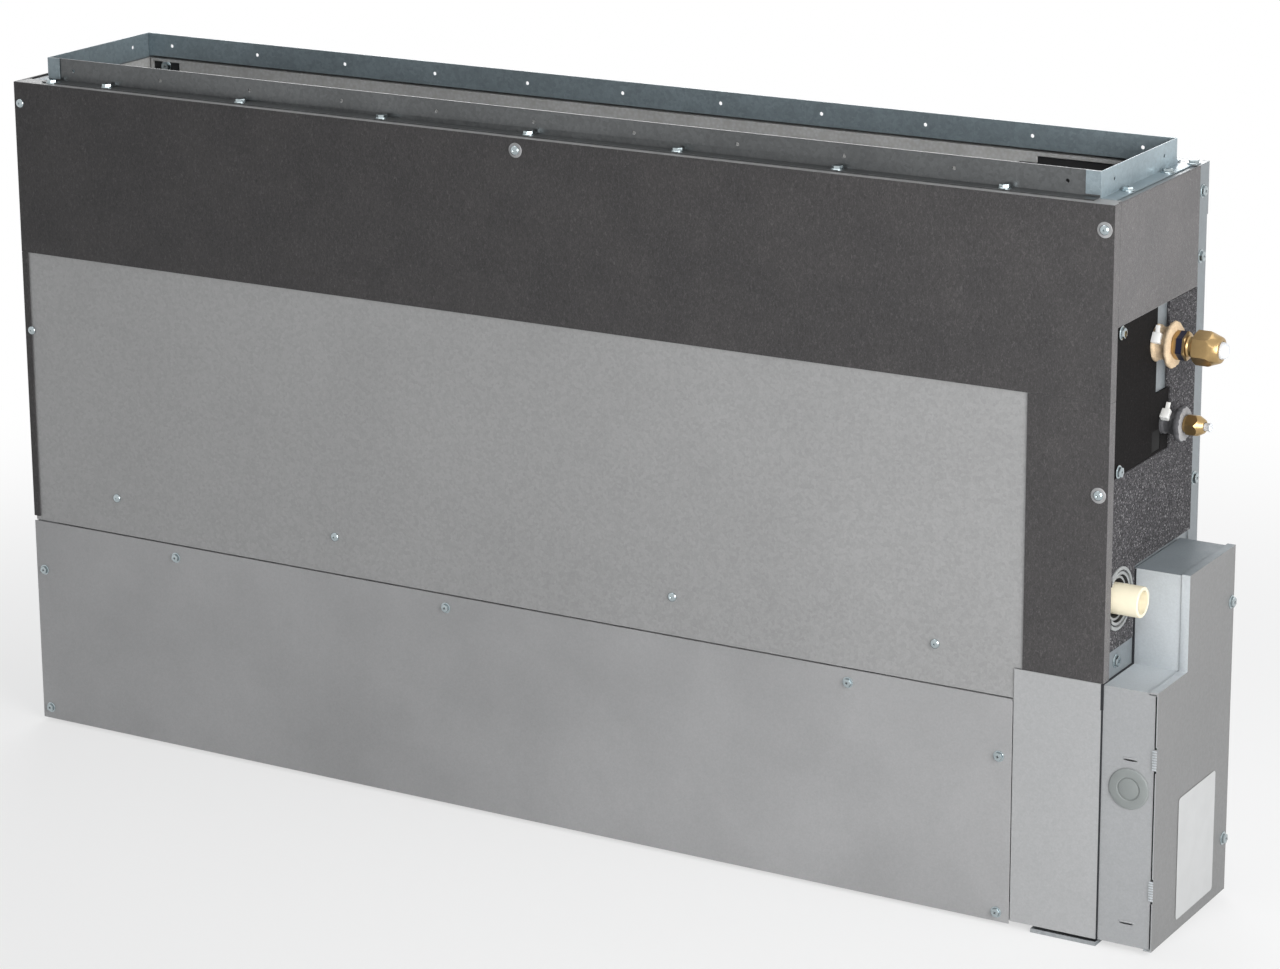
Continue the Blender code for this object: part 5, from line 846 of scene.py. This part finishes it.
# The filter: a moulded black plastic frame with cross ribs, and a fine woven net stretched over it. It
# is clipped under the intake by the base plate's sprung tabs, and slides straight down.
def net():
    finish, shader, where = new_finish("filter_net", 0.7)
    cells = shader_node(finish, "TexChecker", {"Vector": where, "Scale": 900.0})
    feed(finish, shader, "Base Color", shades(finish, cells.outputs["Fac"], [
        (0.0, (0.010, 0.011, 0.014)), (1.0, (0.055, 0.060, 0.070)),
    ]))
    relief(finish, shader, cells.outputs["Fac"], 0.6, 0.0005)
    return finish


finished("filter_frame_bars", from_node("filter_frame"), [black_plastic],
         ["filter_frame"], "filter", 0.0004)
finished("filter_net_sheet", from_node("filter_mesh"), [net()], ["filter_mesh"], "filter")


# The hanging brackets: punched zinc plates behind the top corners, each with a keyhole that drops over
# a screw in the wall.
# The brackets' faces that point along X take the darker copy of the zinc: painted shade.
for bracket in ("hanging_bracket_left", "hanging_bracket_right"):
    sheet(bracket, casing_zinc, shaded_sides=side_shade_zinc)


# The screws: zinc-plated tapping screws. Hexagon flange heads hold the access panel, the box and the
# collar, and domed heads on clear washers hold the felt. Both have a cross recess.
def cross_recess(outer, depth):
    """The tool that cuts a cross recess: two crossed tapering bars."""
    tool = bmesh.new()
    for spin in (0, pi / 2):
        bar = bmesh.ops.create_cone(tool, cap_ends=True, segments=4, radius1=0.0004, radius2=0.0034,
                                    depth=depth)
        bmesh.ops.rotate(tool, verts=bar["verts"], matrix=Matrix.Rotation(pi / 4, 3, "Z"))
        bmesh.ops.scale(tool, verts=bar["verts"], vec=(1, 0.25, 1))
        bmesh.ops.rotate(tool, verts=bar["verts"], matrix=Matrix.Rotation(spin, 3, "Z"))
        bmesh.ops.rotate(tool, verts=bar["verts"], matrix=Matrix.Rotation(pi / 2, 3, "Y"))
        bmesh.ops.translate(tool, verts=bar["verts"], vec=(outer, 0, 0))
    return tool


def with_recess_shade(head, below):
    """Gives the faces inside a head's recess its second finish, a dark copy of the plating that is painted
    shade.
    """
    for face in head.faces:
        middle = face.calc_center_median()
        if middle.yz.length < 0.0028 and 0.0010 < middle.x < below and abs(face.normal.x) < 0.97:
            face.material_index = 1
        if middle.yz.length < 0.0024 and 0.0014 < middle.x < below - 0.0004:
            face.material_index = 1
    return head


def hexagon_head():
    """A hexagon on a round flange, standing on X = 0 and facing X."""
    flange = outline_spun([(0, 0), (0, 5.1), (0.5, 5.1), (0.9, 4.5), (0.9, 0)], 28, ring=False)
    block = bmesh.new()
    bmesh.ops.create_cone(block, cap_ends=True, segments=6, radius1=0.0040, radius2=0.0040, depth=0.0022)
    top = [edge for edge in block.edges if all(vert.co.z > 0 for vert in edge.verts)]
    bmesh.ops.bevel(block, geom=top, offset=0.0004, segments=2, profile=0.5, affect="EDGES", material=-1)
    bmesh.ops.rotate(block, verts=block.verts, matrix=Matrix.Rotation(pi / 2, 3, "Y"))
    bmesh.ops.translate(block, verts=block.verts, vec=(0.0018, 0, 0))
    block = with_recess_shade(carved(block, cross_recess(0.0030, 0.0026)), 0.0027)
    copied_in(block, flange)
    flange.free()
    return block


def domed_head():
    """A low round head that stands on X = 0 and faces X."""
    dome = outline_spun([(0, 0), (0, 4.3), (0.8, 4.25), (1.6, 3.7), (2.2, 2.6), (2.5, 1.3), (2.6, 0)], 28,
                        ring=False)
    return with_recess_shade(carved(dome, cross_recess(0.0028, 0.0022)), 0.0021)


def screws(name, head, direction, places, finish, stands_for=()):
    """One group of like screws, each turned to its own angle."""
    shape = bmesh.new()
    aim = Vector((1, 0, 0)).rotation_difference(Vector(direction)).to_matrix().to_4x4()
    for number, place in enumerate(places):
        own_turn = Matrix.Rotation(0.4 + number * 2.4, 4, "X")
        copied_in(shape, head, Matrix.Translation(at(*place)) @ aim @ own_turn)
    return finished(name, shape, [finish, recess_painted_shade], stands_for)


plating = turned_metal("zinc_plating", (0.44, 0.50, 0.52), 0.17, 0.05)
# A dark copy of the plating for the faces inside the cross recesses: painted shade.
recess_painted_shade = turned_metal("recess_painted_shade", (0.05, 0.055, 0.06), 0.5, 0.05)
clear_washer, washer_shader, washer_where = new_finish("clear_washer", 0.3)
washer_cloud = shader_node(clear_washer, "TexNoise", {"Vector": washer_where, "Scale": 200.0})
feed(clear_washer, washer_shader, "Base Color", shades(clear_washer, washer_cloud.outputs["Fac"], [
    (0.3, (0.30, 0.30, 0.30)), (0.7, (0.42, 0.42, 0.43)),
]))
hexagon = hexagon_head()
dome = domed_head()
FRONT, UP, RIGHT = (0, -1, 0), (0, 0, 1), (1, 0, 0)
screws("window_screws", dome, FRONT, [(x, 1.6, 241) for x in (102.4, 358.8, 723.3, 983.1)], plating)
screws("access_screws", hexagon, FRONT, [
    (172.4, 0.3, 192), (482.6, 0.3, 192), (900.2, 0.3, 192), (9.6, 0.3, 154.3), (9.6, 0.3, 10.8),
    (1045.5, 0.3, 150.8), (1045.5, 0.3, 8.0),
], plating)
washered = [(566, 0, 630.5), (1131.8, 0, 620.5), (1131.8, 0, 395.5)]
screws("felt_screws", dome, FRONT, [(x, y - 0.6, z) for x, y, z in washered] + [(6.8, 0, 621), (6.8, 1.3, 397)],
       plating)
washer = outline_spun([(0, 4.0), (0, 6.8), (0.6, 6.4), (0.7, 4.0)], 36)
washers = bmesh.new()
for place in washered:
    copied_in(washers, washer, Matrix.Translation(at(*place)) @ Matrix.Rotation(-pi / 2, 4, "Z"))
finished("felt_washers", washers, [clear_washer])
collar_head_scale = 1.18
bmesh.ops.scale(hexagon, verts=hexagon.verts, vec=(collar_head_scale,) * 3)
screws("collar_front_screws", hexagon, UP,
       [(x, 14.6, 642.8) for x in (101, 256, 414, 571, 723, 879, 1035)], plating)
screws("collar_end_screws", hexagon, UP,
       [(1126, y, 641.5) for y in (58.6, 141.1)] + [(20, 100, 641.5)], plating)
screws("top_edge_screws", hexagon, UP, [(37.6, 11.5, 641.6), (1131.5, 185.1, 641.6)], plating)
screws("liner_screw", hexagon, FRONT, [(46, 178.6, 631.5)], plating)
screws("side_screws", hexagon, RIGHT, [(1140.5, 19.8, 531), (1140.5, 20.1, 412)], plating)
screws("rear_edge_screws", hexagon, RIGHT, [(1138.9, 188, z) for z in (618, 561, 363.5)], plating)
screws("corner_screw", hexagon, RIGHT, [(1138.9, 27.6, 244.4)], plating)
screws("box_screws", hexagon, RIGHT, [(1190.0, 156.3, 267.8), (1190.0, 154.3, 51.0)], plating,
       ["box_screw_upper", "box_screw_lower"])
